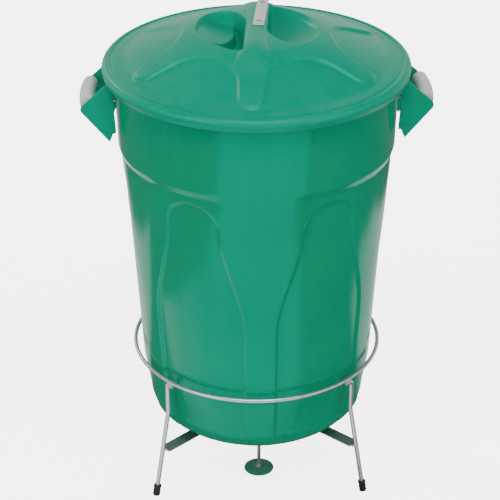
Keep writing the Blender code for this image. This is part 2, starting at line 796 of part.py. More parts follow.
def outlet():
    under = BIN_FLOOR_Z - GAP
    gasket_low = under - GASKET_THICKNESS
    flange_top = gasket_low - GAP
    flange_low = flange_top - FLANGE_THICKNESS
    floor_top = BIN_FLOOR_Z + BIN_WALL
    spout_profile = [
        (BORE_RADIUS, floor_top + SPOUT_TOP_ABOVE_FLOOR),
        (TUBE_RADIUS, floor_top + SPOUT_TOP_ABOVE_FLOOR),
        (TUBE_RADIUS, flange_top),
        (FLANGE_RADIUS, flange_top),
        (FLANGE_RADIUS, flange_low),
        (TUBE_RADIUS, flange_low),
        (TUBE_RADIUS, flange_low - SPOUT_LIP),
        (BORE_RADIUS, flange_low - SPOUT_LIP),
    ]
    gasket_profile = [
        (TUBE_RADIUS + FIT, under),
        (FLANGE_RADIUS - 0.001, under),
        (FLANGE_RADIUS - 0.001, gasket_low),
        (TUBE_RADIUS + FIT, gasket_low),
    ]
    nut_low = floor_top + GAP
    locknut_profile = [
        (TUBE_RADIUS + FIT, nut_low + LOCKNUT_HEIGHT),
        (LOCKNUT_RADIUS, nut_low + LOCKNUT_HEIGHT),
        (LOCKNUT_RADIUS, nut_low),
        (TUBE_RADIUS + FIT, nut_low),
    ]
    spout = turned("outlet_spout", spout_profile, "spout_plastic", steps=32)
    gasket = turned("outlet_gasket", gasket_profile, "black_rubber", steps=24)
    locknut = turned("outlet_locknut", locknut_profile, "spout_plastic", steps=24)
    for obj in (spout, gasket, locknut):
        obj.location.y = OUTLET_Y


def hanger_bridge():
    """A bent bar inside the bin, bolted to the floor on both sides of the outlet."""
    foot = BIN_FLOOR_Z + BIN_WALL + 2 * GAP + HANGER_THICKNESS / 2
    top = HANGER_TOP_Z - HANGER_THICKNESS / 2
    leg = HANGER_HALF_SPAN
    left_half = [(-HANGER_FOOT_END, foot), (-leg, foot), (-leg, top)]
    right_half = [(-x, z) for x, z in left_half[::-1]]
    outline = bent_strip(left_half + right_half, HANGER_THICKNESS)
    turn, where = (pi / 2, 0.0, 0.0), (0.0, OUTLET_Y, 0.0)
    bridge = flat_plate("hanger_bridge", outline, HANGER_WIDTH, turn, where, "galvanised_strap")
    low, high = (0.0, OUTLET_Y, HANGER_TOP_Z - HOLE_PAST), (0.0, OUTLET_Y, HANGER_TOP_Z + HOLE_PAST)
    cut(bridge, cylinder("eye_hole", ROD_RADIUS + FIT, low, high))
    foot_top = foot + HANGER_THICKNESS / 2
    for name, side in (("left", -1), ("right", 1)):
        cut(bridge, bpy.data.objects[f"hanger_bolt_hole_{side}"])
        x = side * HANGER_BOLT_X
        nut_low = foot_top + GAP
        nut_top = nut_low + NUT_HEIGHT
        seat, end = (x, OUTLET_Y, BIN_FLOOR_Z - GAP), (x, OUTLET_Y, nut_top + BOLT_PAST_NUT)
        pan_bolt("hanger_bolt_" + name, seat, end)
        low, high = (x, OUTLET_Y, nut_low), (x, OUTLET_Y, nut_top)
        hex_nut("hanger_nut_" + name, low, high, NUT_RADIUS, BOLT_RADIUS + FIT)


# ---------------------------------------------------------------- pendulum


def eye_loop(centre_z, start, sweep, steps=14):
    """Points of an open eye in the YZ plane, from the angle start, 0 along +Y."""
    points = []
    for step in range(steps + 1):
        angle = radians(start + sweep * step / steps)
        points.append((0.0, OUTLET_Y + EYE_RADIUS * cos(angle), centre_z + EYE_RADIUS * sin(angle)))
    return points


def hanger_eye():
    """An eye bolt that hangs from the bridge, with its nut on top."""
    centre = LINK_PIVOT_Z + EYE_RADIUS
    shank_top = HANGER_TOP_Z + ROD_NUT_HEIGHT + BOLT_PAST_NUT
    shank = [(0.0, OUTLET_Y, shank_top), (0.0, OUTLET_Y, centre + EYE_RADIUS + 0.002)]
    tube("hanger_eye", shank + eye_loop(centre, 60.0, -265.0), ROD_RADIUS, "pendulum_steel")
    rod_nut("hanger_eye_nut", HANGER_TOP_Z + GAP)


def rod_nut(name, low):
    where_low, where_high = (0.0, OUTLET_Y, low), (0.0, OUTLET_Y, low + ROD_NUT_HEIGHT)
    return hex_nut(name, where_low, where_high, ROD_NUT_RADIUS, ROD_RADIUS + FIT)


def swing_link():
    """An oval link in the XZ plane, with the hanger eye through its top and the rod's eye at its bottom."""
    top = LINK_PIVOT_Z + ROD_RADIUS + GAP + LINK_ROD
    bottom = top - LINK_HEIGHT
    high_centre, low_centre = top - LINK_HALF_WIDTH, bottom + LINK_HALF_WIDTH
    outline = arc(0.0, high_centre, LINK_HALF_WIDTH, 0.0, 180.0, 8)
    outline += arc(0.0, low_centre, LINK_HALF_WIDTH, 180.0, 360.0, 8)
    points = [(x, OUTLET_Y, z) for x, z in outline]
    link = tube("swing_link", points, LINK_ROD, "pendulum_steel", closed=True)
    carry(axis_empty("link_axis", (0.0, OUTLET_Y, LINK_PIVOT_Z)), link)
    return bottom


def pendulum_rod(link_bottom):
    """The rod: an eye at the top, the valve plate above the spout and the trigger disc near the ground."""
    centre = link_bottom + LINK_ROD + GAP + ROD_RADIUS - EYE_RADIUS
    shank = [(0.0, OUTLET_Y, ROD_TIP_Z), (0.0, OUTLET_Y, centre - EYE_RADIUS - 0.002)]
    return tube("pendulum_rod", shank + eye_loop(centre, -60.0, 265.0), ROD_RADIUS, "pendulum_steel")


def plate_on_rod(name, z, radius, thickness, finish):
    half = thickness / 2
    hole = ROD_RADIUS + FIT
    edge = half * 0.6
    profile = [
        (hole, half),
        (radius - edge, half),
        (radius, half - edge),
        (radius, edge - half),
        (radius - edge, -half),
        (hole, -half),
    ]
    plate = turned(name, profile, finish, steps=40)
    plate.location = (0.0, OUTLET_Y, z)
    return plate


def pendulum():
    """All that hangs from the link's lower end, on the axis that the rod swings about."""
    link_bottom = swing_link()
    pieces = [
        pendulum_rod(link_bottom),
        plate_on_rod("valve_plate", VALVE_Z, VALVE_RADIUS, VALVE_THICKNESS, "black_rubber"),
        plate_on_rod("trigger_disc", DISC_Z, DISC_RADIUS, DISC_THICKNESS, "disc_green"),
    ]
    for name, z, thickness in (("valve", VALVE_Z, VALVE_THICKNESS), ("disc", DISC_Z, DISC_THICKNESS)):
        pieces.append(rod_nut(name + "_nut_upper", z + thickness / 2 + GAP))
        pieces.append(rod_nut(name + "_nut_lower", z - thickness / 2 - GAP - ROD_NUT_HEIGHT))
    holes = [bpy.data.objects[piece.name + "_hole"] for piece in pieces if "_nut_" in piece.name]
    carry(axis_empty("rod_axis", (0.0, OUTLET_Y, link_bottom)), *pieces, *holes)


stand_ring()
legs()
foot_caps()
cross_straps()
bin_body()
handles()
lid()
lid_strap()
turn_lid_group()
outlet()
hanger_bridge()
hanger_eye()
pendulum()
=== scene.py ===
"""Looks of the gravity game feeder: a lidded green bin in a rod stand, with a trigger disc under it.

Metres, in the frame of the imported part: +Z up, front towards -Y, handles on the X axis.
"""

from math import acos, asin, atan2, cos, degrees, pi, radians, sin, sqrt, tan

import bmesh
import bpy
import numpy as np
from mathutils import Matrix, Vector


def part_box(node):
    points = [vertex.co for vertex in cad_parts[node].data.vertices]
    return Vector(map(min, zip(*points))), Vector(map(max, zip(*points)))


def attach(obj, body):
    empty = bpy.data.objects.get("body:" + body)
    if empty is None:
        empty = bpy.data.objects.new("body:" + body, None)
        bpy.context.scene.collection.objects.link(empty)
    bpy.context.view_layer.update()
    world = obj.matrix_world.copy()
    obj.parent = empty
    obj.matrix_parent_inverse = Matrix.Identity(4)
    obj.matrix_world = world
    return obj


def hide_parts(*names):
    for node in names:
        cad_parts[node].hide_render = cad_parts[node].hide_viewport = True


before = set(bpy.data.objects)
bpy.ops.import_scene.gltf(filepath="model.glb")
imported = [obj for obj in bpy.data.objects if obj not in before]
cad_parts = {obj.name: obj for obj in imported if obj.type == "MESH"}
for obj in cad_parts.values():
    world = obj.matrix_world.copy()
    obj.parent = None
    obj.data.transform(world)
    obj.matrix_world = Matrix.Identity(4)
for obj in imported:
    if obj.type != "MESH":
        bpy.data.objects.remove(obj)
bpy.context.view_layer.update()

# Bin, read from its CAD box
BIN_LOW, BIN_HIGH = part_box("bin_body")
FLOOR_Z = BIN_LOW.z
RIM_Z = BIN_HIGH.z
BEAD_RADIUS = BIN_HIGH.x
BIN_WALL = 0.003
BEAD_HEIGHT = 0.010
BEAD_SIZE = 0.003
BAND_TOP_RADIUS = BEAD_RADIUS - BEAD_SIZE
BAND_BOTTOM_RADIUS = 0.2303
SHOULDER_TOP_Z = 0.613
SHOULDER_BOTTOM_Z = 0.597
SIDE_TOP_Z = 0.567
SIDE_TOP_RADIUS = 0.2203
TAPER_BREAK_Z = 0.207
TAPER_BREAK_RADIUS = 0.1994
LOW_RADIUS = 0.1890
BASE_ROUNDING = 0.050
RIB_COUNT = 6
PANEL_DEPTH = 0.0034
PANEL_EDGE = 0.0026
ARCH_TOP_Z = 0.585
ARCH_FOOT_Z = 0.540
PANEL_TOP_ANGLE = 12.3
PANEL_LOW_ANGLE = 22.8
PANEL_LOW_Z = 0.350
TONGUE_ANGLE = 15.0
TONGUE_TOP_Z = 0.560
TONGUE_TIP_Z = 0.496
TONGUE_TAPER = 0.086
TONGUE_EDGE = 0.013

# Lid
LID_LOW, LID_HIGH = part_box("lid")
SKIRT_Z = LID_LOW.z
BRIDGE_TOP_Z = LID_HIGH.z
LID_WALL = 0.0025
LID_TURN = radians(-4.0)
DOME_PROFILE = (
    (0.0, 0.8105), (0.070, 0.8085), (0.100, 0.8045), (0.117, 0.7993), (0.150, 0.7865),
    (0.200, 0.7675), (0.238, 0.7510),
)
DOME_EDGE_RADIUS = 0.238
BRIDGE_HALF_WIDTH = 0.018
BRIDGE_FLAT_HALF = 0.068
BRIDGE_FOOT_HALF = 0.158
HUB_RADIUS = 0.119
ARM_HALF_WIDTH = 0.0205
ARM_WIDENING = 0.06
ARM_TIP_RADIUS = 0.196
PETAL_DEPTH = 0.0046
PETAL_EDGE = 0.0028
RECESS_OUTER_X = 0.104
RECESS_SQUARE_END = 0.098
RECESS_SQUARE_POWER = 1.6
RECESS_ROUND_END = 0.066
RECESS_ROUND_X = 0.060
RECESS_DEEP_Z = 0.7695

# Handles
EAR_SPACING = 0.0505
EAR_THICKNESS = 0.0030
GRIP_HALF_LENGTH = 0.0460
HEAD_RADIUS = 0.0048
HEAD_HEIGHT = 0.0030

# Outlet and pendulum
OUTLET_Y = (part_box("outlet_spout")[0].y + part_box("outlet_spout")[1].y) / 2
OUTLET_HOLE = 0.0189
ROD_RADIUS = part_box("pendulum_rod")[1].x

# Camera and stage
CAMERA_DISTANCE = 2.975
CAMERA_ELEVATION = radians(28.72)
CAMERA_AZIMUTH = radians(2.0)
CAMERA_TARGET = Vector((0.0, 0.0, 0.3944))
CAMERA_LENS = 123.84
CAMERA_SHIFT_X = -0.013
WORLD_STRENGTH = 1.0
FLOOR_WHITE = 4.5
BACKDROP_WHITE = 5.0
WHITE = (1.0, 1.0, 1.0)


# ---------------------------------------------------------------- shape helpers


def smooth_step(low, high, value):
    t = np.clip((value - low) / (high - low), 0.0, 1.0)
    return t * t * (3.0 - 2.0 * t)


def smooth_max(first, second, width):
    """The larger of two distances, with a fillet of this width where they meet."""
    near = np.maximum(width - np.abs(first - second), 0.0) / width
    return np.maximum(first, second) + near * near * width / 4


def placed(name, data):
    """A new object in the scene."""
    obj = bpy.data.objects.new(name, data)
    bpy.context.scene.collection.objects.link(obj)
    return obj


def piece(name, data, body, finish, replaces=()):
    """A finished visible piece on its body."""
    obj = placed(name, data)
    data.materials.clear()
    data.materials.append(finish)
    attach(obj, body)
    if replaces:
        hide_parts(*replaces)
    return obj


def circle(radius, z, columns, centre_y=0.0):
    """Points of a level ring, (columns, 3). The radius and height are numbers or one value per column."""
    angles = np.linspace(0.0, 2 * pi, columns, endpoint=False)
    return np.stack([radius * np.cos(angles), centre_y + radius * np.sin(angles), z + 0 * angles], -1)


def surface_mesh(name, rings, first_pole=None, last_pole=None):
    """A mesh of rings of points, (rows, columns, 3), wrapped round, with single end points as poles."""
    rows, columns = rings.shape[:2]
    points = rings.reshape(-1, 3).tolist()
    index = np.arange(rows * columns).reshape(rows, columns)
    here, after = index[:-1], index[1:]
    quads = np.stack([here, np.roll(here, -1, 1), np.roll(after, -1, 1), after], -1)
    faces = quads.reshape(-1, 4).tolist()
    if first_pole is not None:
        points.append(first_pole)
        pole = len(points) - 1
        faces += [(pole, int(index[0, (i + 1) % columns]), int(index[0, i])) for i in range(columns)]
    if last_pole is not None:
        points.append(last_pole)
        pole = len(points) - 1
        faces += [(pole, int(index[-1, i]), int(index[-1, (i + 1) % columns])) for i in range(columns)]
    mesh = bpy.data.meshes.new(name)
    mesh.from_pydata(points, [], faces)
    fix_normals(mesh)
    return mesh


def fix_normals(mesh, sharp=40.0):
    work = bmesh.new()
    work.from_mesh(mesh)
    bmesh.ops.remove_doubles(work, verts=work.verts, dist=0.000005)
    bmesh.ops.recalc_face_normals(work, faces=work.faces)
    work.to_mesh(mesh)
    work.free()
    mesh.shade_smooth()
    mesh.set_sharp_from_angle(angle=radians(sharp))


def turned_mesh(name, profile, columns=64, centre=(0.0, 0.0, 0.0)):
    """A turned shape from (radius, z) points. A point on the axis closes an end, and else it is a ring."""
    poles = [None, None]
    inner = list(profile)
    if inner[0][0] == 0.0:
        poles[0] = (centre[0], centre[1], centre[2] + inner.pop(0)[1])
    if inner[-1][0] == 0.0:
        poles[1] = (centre[0], centre[1], centre[2] + inner.pop()[1])
    if poles == [None, None]:
        inner.append(inner[0])
    rings = np.stack([circle(*point, columns) for point in inner]) + np.array(centre)
    return surface_mesh(name, rings, *poles)


def rounded(corners, steps=6):
    """An outline from corners (x, y, rounding radius), each rounded corner as an arc."""
    outline = []
    for i, (x, y, radius) in enumerate(corners):
        here = Vector((x, y))
        if radius == 0.0:
            outline.append((x, y))
            continue
        before = (Vector(corners[i - 1][:2]) - here).normalized()
        after = (Vector(corners[(i + 1) % len(corners)][:2]) - here).normalized()
        half = before.angle(after) / 2
        centre = here + (before + after).normalized() * radius / sin(half)
        first = here + before * radius / tan(half) - centre
        last = here + after * radius / tan(half) - centre
        start = atan2(first.y, first.x)
        turn = (atan2(last.y, last.x) - start + pi) % (2 * pi) - pi
        for step in range(steps + 1):
            angle = start + turn * step / steps
            outline.append((centre.x + radius * cos(angle), centre.y + radius * sin(angle)))
    return outline


def bar_outline(left, right, front, rear, corner):
    corners = ((left, front), (right, front), (right, rear), (left, rear))
    return rounded([(x, y, corner) for x, y in corners])


def plate_mesh(name, outline, thickness, edge, matrix):
    """A flat plate with rounded edges, from a 2D outline."""
    curve = bpy.data.curves.new(name, "CURVE")
    curve.dimensions = "2D"
    curve.fill_mode = "BOTH"
    curve.extrude = thickness / 2 - edge
    curve.bevel_depth = edge
    curve.bevel_resolution = 2
    curve.offset = -edge
    spline = curve.splines.new("POLY")
    spline.points.add(len(outline) - 1)
    for point, (x, y) in zip(spline.points, outline):
        point.co = (x, y, 0.0, 1.0)
    spline.use_cyclic_u = True
    mesh = curve_to_mesh(curve)
    mesh.transform(matrix)
    fix_normals(mesh, 50.0)
    return mesh


def curve_to_mesh(curve):
    guide = placed("guide", curve)
    bpy.context.view_layer.update()
    mesh = bpy.data.meshes.new_from_object(guide.evaluated_get(bpy.context.evaluated_depsgraph_get()))
    bpy.data.objects.remove(guide, do_unlink=True)
    return mesh


def rod_mesh(name, points, radius, closed=False, sides=5):
    """A round rod along the points, with its ends filled."""
    curve = bpy.data.curves.new(name, "CURVE")
    curve.dimensions = "3D"
    curve.bevel_depth = radius
    curve.bevel_resolution = sides
    curve.use_fill_caps = not closed
    spline = curve.splines.new("POLY")
    spline.points.add(len(points) - 1)
    for point, where in zip(spline.points, points):
        point.co = (*where, 1.0)
    spline.use_cyclic_u = closed
    mesh = curve_to_mesh(curve)
    fix_normals(mesh, 50.0)
    return mesh


def joined(name, meshes):
    """Several closed shapes as one mesh."""
    work = bmesh.new()
    for mesh in meshes:
        work.from_mesh(mesh)
    made = bpy.data.meshes.new(name)
    work.to_mesh(made)
    work.free()
    made.shade_smooth()
    made.set_sharp_from_angle(angle=radians(45.0))
    return made


def cut_away(mesh, cutter):
    """The mesh less a closed cutter mesh."""
    body = placed("body_to_cut", mesh)
    tool = placed("cutting_tool", cutter)
    modifier = body.modifiers.new("cut", "BOOLEAN")
    modifier.operation = "DIFFERENCE"
    modifier.solver = "MANIFOLD"
    modifier.object = tool
    bpy.context.view_layer.update()
    graph = bpy.context.evaluated_depsgraph_get()
    result = bpy.data.meshes.new_from_object(body.evaluated_get(graph))
    for obj in (body, tool):
        bpy.data.objects.remove(obj, do_unlink=True)
    result.shade_smooth()
    result.set_sharp_from_angle(angle=radians(40.0))
    return result


def spin(angle, radius, z):
    """A point at this angle in degrees, 0 along +X."""
    return Vector((radius * cos(radians(angle)), radius * sin(radians(angle)), z))


# ---------------------------------------------------------------- materials


class Nodes:
    """A small builder for node materials."""

    def __init__(self, name, metallic=0.0):
        self.material = bpy.data.materials.new(name)
        self.material.use_nodes = True
        self.tree = self.material.node_tree
        self.shader = self.tree.nodes["Principled BSDF"]
        self.set("Metallic", metallic)
        self.set("IOR", 1.5)
        self.place = self.add("TexCoord").outputs["Object"]

    def add(self, kind, **values):
        """A new node, with each named input set to a value or linked from a socket."""
        node = self.tree.nodes.new("ShaderNode" + kind)
        for name, value in values.items():
            self.feed(node.inputs[name.replace("_", " ")], value)
        return node

    def feed(self, socket, value):
        if isinstance(value, bpy.types.NodeSocket):
            self.tree.links.new(value, socket)
        elif socket.type == "RGBA":
            socket.default_value = (*value, 1.0)
        else:
            socket.default_value = value

    def noise(self, scale, detail=3.0, roughness=0.5, stretch=(1.0, 1.0, 1.0)):
        place = self.add("Mapping", Scale=stretch, Vector=self.place).outputs["Vector"]
        node = self.add("TexNoise", Scale=scale, Detail=detail, Roughness=roughness, Vector=place)
        return node.outputs["Fac"]

    def cells(self, scale):
        return self.add("TexVoronoi", Scale=scale, Vector=self.place).outputs["Color"]

    def ramp(self, value, low, high, first, last):
        """Maps the value from low..high to first..last, which are numbers or colours."""
        if isinstance(first, tuple):
            node = self.add("ValToRGB", Fac=value)
            for stop, position, colour in zip(node.color_ramp.elements, (low, high), (first, last)):
                stop.position = position
                stop.color = (*colour, 1.0)
            return node.outputs["Color"]
        node = self.add("MapRange", From_Min=low, From_Max=high, To_Min=first, To_Max=last, Value=value)
        return node.outputs["Result"]

    def mix(self, factor, first, last):
        node = self.tree.nodes.new("ShaderNodeMix")
        node.data_type = "RGBA"
        for name, value in (("Factor", factor), ("A", first), ("B", last)):
            self.feed(node.inputs[name], value)
        return node.outputs["Result"]

    def set(self, name, value):
        self.feed(self.shader.inputs[name], value)

    def glow(self, strength):
        self.set("Emission Color", WHITE)
        self.set("Emission Strength", strength)

    def bump(self, *layers):
        """Layers are (height output, distance in metres)."""
        below = {}
        for height, distance in layers:
            node = self.add("Bump", Strength=1.0, Distance=distance, Height=height, **below)
            below["Normal"] = node.outputs["Normal"]
        self.set("Normal", below["Normal"])


def moulded_plastic(name, colour, light, gloss_low, gloss_high, tint=WHITE, peel=0.00012, shine=0.5):
    """Glossy moulded plastic: clouded pigment, flow streaks, a faint orange peel and fine scuffs."""
    nodes = Nodes(name)
    cloud = nodes.noise(7.0, 4.0)
    streak = nodes.noise(26.0, 3.0, 0.55, (1.0, 1.0, 0.12))
    pigment = nodes.mix(nodes.ramp(cloud, 0.35, 0.65, 0.0, 1.0), colour, light)
    deeper = tuple(value * 0.90 for value in colour)
    nodes.set("Base Color", nodes.mix(nodes.ramp(streak, 0.50, 0.78, 0.0, 0.55), pigment, deeper))
    scuff = nodes.noise(210.0, 5.0, 0.7, (1.0, 1.0, 0.25))
    nodes.set("Roughness", nodes.ramp(scuff, 0.35, 0.75, gloss_low, gloss_high))
    nodes.bump((nodes.noise(32.0, 2.0), peel), (nodes.noise(420.0, 2.0), 0.000005))
    nodes.set("Specular Tint", tint)
    nodes.set("Specular IOR Level", shine)
    return nodes.material


def drawn_steel(name, colour, light, low=0.24, high=0.42):
    """Zinc-plated drawn rod: fine streaks and small cloudy patches."""
    nodes = Nodes(name, metallic=0.92)
    patch = nodes.noise(55.0, 4.0, 0.6)
    nodes.set("Base Color", nodes.mix(nodes.ramp(patch, 0.35, 0.68, 0.0, 1.0), colour, light))
    grain = nodes.noise(380.0, 4.0, 0.6, (1.0, 1.0, 0.2))
    nodes.set("Roughness", nodes.ramp(grain, 0.3, 0.7, low, high))
    nodes.bump((grain, 0.00004))
    return nodes.material


def galvanised_strip(name):
    """Hot-dip galvanised strip, with its crystal spangle."""
    nodes = Nodes(name, metallic=0.45)
    spangle = nodes.ramp(nodes.cells(190.0), 0.1, 0.9, (0.70, 0.70, 0.69), (0.86, 0.855, 0.845))
    dirt = nodes.ramp(nodes.noise(60.0, 5.0, 0.65), 0.45, 0.75, 0.0, 0.30)
    nodes.set("Base Color", nodes.mix(dirt, spangle, (0.56, 0.55, 0.54)))
    nodes.set("Roughness", nodes.ramp(nodes.noise(240.0, 3.0), 0.3, 0.7, 0.34, 0.52))
    nodes.bump((nodes.noise(300.0, 3.0), 0.00003))
    return nodes.material


def moulded_rubber(name, colour, rough_low=0.55, rough_high=0.8):
    nodes = Nodes(name)
    dust = nodes.ramp(nodes.noise(90.0, 5.0, 0.65), 0.45, 0.8, 0.0, 1.0)
    lighter = tuple(value * 1.9 + 0.006 for value in colour)
    nodes.set("Base Color", nodes.mix(dust, colour, lighter))
    nodes.set("Roughness", nodes.ramp(nodes.noise(300.0, 3.0), 0.3, 0.7, rough_low, rough_high))
    nodes.bump((nodes.noise(700.0, 3.0), 0.00004))
    return nodes.material


def painted_disc(name):
    """Dull green paint with fine turning marks and a few chips down to a darker coat."""
    nodes = Nodes(name)
    chip = nodes.ramp(nodes.noise(120.0, 6.0, 0.7), 0.66, 0.70, 0.0, 0.8)
    base = nodes.mix(nodes.ramp(nodes.noise(40.0, 3.0), 0.3, 0.7, 0.0, 1.0), DISC_GREEN, DISC_LIGHT)
    nodes.set("Base Color", nodes.mix(chip, base, (0.020, 0.075, 0.050)))
    nodes.set("Roughness", nodes.ramp(nodes.noise(200.0, 4.0), 0.3, 0.7, 0.38, 0.58))
    nodes.bump((nodes.noise(500.0, 3.0), 0.00004))
    return nodes.material


BIN_GREEN = (0.0, 0.275, 0.140)
BIN_LIGHT = (0.0, 0.295, 0.152)
LID_GREEN = (0.0, 0.285, 0.165)
LID_LIGHT = (0.0, 0.305, 0.178)
PLASTIC_TINT = (0.0, 1.0, 0.92)
DISC_GREEN = (0.040, 0.230, 0.155)
DISC_LIGHT = (0.055, 0.270, 0.185)

green_plastic = moulded_plastic("green_plastic", BIN_GREEN, BIN_LIGHT, 0.10, 0.16, PLASTIC_TINT)
lid_plastic = moulded_plastic("lid_plastic", LID_GREEN, LID_LIGHT, 0.33, 0.39, PLASTIC_TINT, 0.00006, 0.38)
grip_plastic = moulded_plastic("grip_plastic", (0.62, 0.625, 0.615), (0.68, 0.685, 0.675), 0.34, 0.48)
spout_plastic = moulded_plastic("spout_plastic", (0.035, 0.040, 0.040), (0.05, 0.055, 0.055), 0.34, 0.5)
stand_steel = drawn_steel("stand_steel", (0.55, 0.59, 0.61), (0.68, 0.72, 0.74))
# The cross straps' steel is darker and greener than the stand's: painted shade and a painted green
# reflection from the bin above.
strap_painted_shade_steel = drawn_steel("cross_strap_painted_shade_steel", (0.24, 0.28, 0.26), (0.34, 0.38, 0.36), 0.34, 0.52)
# The pendulum's steel is darker and greener as well: painted shade and a painted green reflection from the
# bin above.
pendulum_steel = drawn_steel("pendulum_steel", (0.27, 0.30, 0.28), (0.38, 0.41, 0.39), 0.32, 0.5)
zinc = drawn_steel("zinc_fastener", (0.62, 0.62, 0.60), (0.74, 0.74, 0.71), 0.22, 0.38)
galvanised = galvanised_strip("galvanised_strap")
black_rubber = moulded_rubber("black_rubber", (0.012, 0.012, 0.012))


# ---------------------------------------------------------------- bin


def panel_radius(z):
    """Outer radius at the bottom of the sunk panels, which is also the outline seen from the side."""
    slope = (SIDE_TOP_RADIUS - TAPER_BREAK_RADIUS) / (SIDE_TOP_Z - TAPER_BREAK_Z)
    taper = TAPER_BREAK_RADIUS + (z - TAPER_BREAK_Z) * slope
    low_slope = (TAPER_BREAK_RADIUS - LOW_RADIUS) / (TAPER_BREAK_Z - FLOOR_Z - BASE_ROUNDING)
    low = TAPER_BREAK_RADIUS + (z - TAPER_BREAK_Z) * low_slope
    return np.where(z < TAPER_BREAK_Z, low, taper)


def rib_radius(z):
    """Outer radius on the ribs below the shoulder, and of the smooth band above it."""
    band_slope = (BAND_TOP_RADIUS - BAND_BOTTOM_RADIUS) / (RIM_Z - SHOULDER_TOP_Z)
    band = BAND_BOTTOM_RADIUS + (z - SHOULDER_TOP_Z) * band_slope
    rib = panel_radius(z) + PANEL_DEPTH
    return rib + (band - rib) * smooth_step(SHOULDER_BOTTOM_Z, SHOULDER_TOP_Z, z)


def panel_mask(angle, z, radius):
    """1 inside the arch-topped panels and 0 on the ribs, with a rolled edge between. Angle is from a rib."""
    from_panel = 180.0 / RIB_COUNT - np.abs(angle)
    widening = smooth_step(PANEL_LOW_Z, ARCH_FOOT_Z, z)
    half = PANEL_LOW_ANGLE + (PANEL_TOP_ANGLE - PANEL_LOW_ANGLE) * widening
    side = (half - from_panel) * pi / 180.0 * radius
    rise = np.clip((z - ARCH_FOOT_Z) / (ARCH_TOP_Z - ARCH_FOOT_Z), 0.0, 3.0)
    arch = (1.0 - np.hypot(from_panel / PANEL_TOP_ANGLE, rise)) * (ARCH_TOP_Z - ARCH_FOOT_Z)
    return smooth_step(-PANEL_EDGE, PANEL_EDGE, np.where(z < ARCH_FOOT_Z, side, arch))


def tongue_mask(angle, z):
    """1 on the low rounded tongue of the band, which runs down on to the front rib and the back one."""
    drop = np.clip((TONGUE_TOP_Z - z) / (TONGUE_TOP_Z - TONGUE_TIP_Z), 0.0, 3.0)
    inside = (1.0 - np.hypot(angle / TONGUE_ANGLE, drop)) * (TONGUE_TOP_Z - TONGUE_TIP_Z)
    soft = TONGUE_EDGE * (2.4 - 1.4 * np.minimum(drop, 1.0))
    return smooth_step(-soft, soft, inside)


def bin_radius(turn, z):
    """Outer radius of the bin at an angle from the front, in degrees, and a height."""
    step = 360.0 / RIB_COUNT
    from_rib = (turn + step / 2) % step - step / 2
    from_seam = (turn + 90.0) % 180.0 - 90.0
    rib = rib_radius(z)
    tongue = BAND_BOTTOM_RADIUS - np.maximum(SHOULDER_TOP_Z - z, 0.0) * TONGUE_TAPER
    rib = rib + np.maximum(tongue - rib, 0.0) * tongue_mask(from_seam, z)
    return rib - PANEL_DEPTH * panel_mask(from_rib, z, panel_radius(z))


def side_heights():
    """Heights down the side, closer together where the surface has its detail."""
    coarse = np.linspace(RIM_Z - BEAD_HEIGHT - 0.004, SHOULDER_TOP_Z + 0.004, 30)
    fine = np.linspace(SHOULDER_TOP_Z, PANEL_LOW_Z, 135)
    low = np.linspace(PANEL_LOW_Z, FLOOR_Z + BASE_ROUNDING, 60)[1:]
    return np.concatenate([coarse, fine, low])


def bin_mesh():
    columns = 540
    turns = np.linspace(0.0, 360.0, columns, endpoint=False) + 90.0
    rings = []

    def ring(radius, z):
        rings.append(circle(radius, z, columns))

    def side(offset, heights):
        for z in heights:
            ring(bin_radius(turns, z) - offset, z)

    def base(offset, bends):
        low_z = FLOOR_Z + BASE_ROUNDING
        centre = LOW_RADIUS - BASE_ROUNDING
        relief = bin_radius(turns, low_z) - LOW_RADIUS
        for bend in bends:
            reach = BASE_ROUNDING + relief * max(1.0 - bend / 1.3, 0.0) - offset
            height = BASE_ROUNDING - offset
            ring(centre + reach * cos(bend), low_z - height * sin(bend))

    bead_low = RIM_Z - BEAD_HEIGHT
    heights = side_heights()
    bends = [pi / 2 * i / 20 for i in range(1, 21)]
    flat = [LOW_RADIUS - BASE_ROUNDING - 0.012 * i for i in range(1, 11)]
    lip = BAND_TOP_RADIUS
    for radius, z in (
        (lip + 0.0010, RIM_Z), (BEAD_RADIUS - 0.0010, RIM_Z),
        (BEAD_RADIUS - 0.0003, RIM_Z - 0.0003), (BEAD_RADIUS, RIM_Z - 0.0010),
        (BEAD_RADIUS, bead_low + 0.0008), (BEAD_RADIUS - 0.0006, bead_low),
        (BAND_TOP_RADIUS + 0.0005, bead_low - 0.0010),
    ):
        ring(radius, z)
    side(0.0, heights)
    base(0.0, bends)
    for radius in flat:
        ring(radius, FLOOR_Z)
    outer_rows = len(rings)
    for radius in flat[::-1]:
        ring(radius, FLOOR_Z + BIN_WALL)
    base(BIN_WALL, bends[::-2])
    side(BIN_WALL, heights[::-2])
    ring(lip - BIN_WALL, RIM_Z - 0.0008)
    ring(lip - BIN_WALL + 0.0008, RIM_Z)
    rings.append(rings[0])
    stack = np.stack(rings)
    outer, inner = stack[:outer_rows], stack[outer_rows:]
    shell = joined(
        "bin",
        [
            surface_mesh("outer", outer, last_pole=(0.0, 0.0, FLOOR_Z)),
            surface_mesh("inner", inner, first_pole=(0.0, 0.0, FLOOR_Z + BIN_WALL)),
        ],
    )
    fix_normals(shell)
    hole = turned_mesh(
        "outlet_hole",
        [(0.0, 0.03), (OUTLET_HOLE, 0.03), (OUTLET_HOLE, -0.03), (0.0, -0.03)],
        centre=(0.0, OUTLET_Y, FLOOR_Z),
    )
    return cut_away(shell, hole)


def make_bin():
    piece("bin_shell", bin_mesh(), "bin", green_plastic, ["bin_body"])


# ---------------------------------------------------------------- lid


def dome(radius):
    """Height of the lid's top surface away from its details, smooth through the profile."""
    radii = [point[0] for point in DOME_PROFILE]
    heights = [point[1] for point in DOME_PROFILE]
    blur = 0.006
    offsets = np.linspace(-1.0, 1.0, 9) * blur
    total = sum(np.interp(np.abs(radius + offset), radii, heights) for offset in offsets)
    return total / len(offsets)


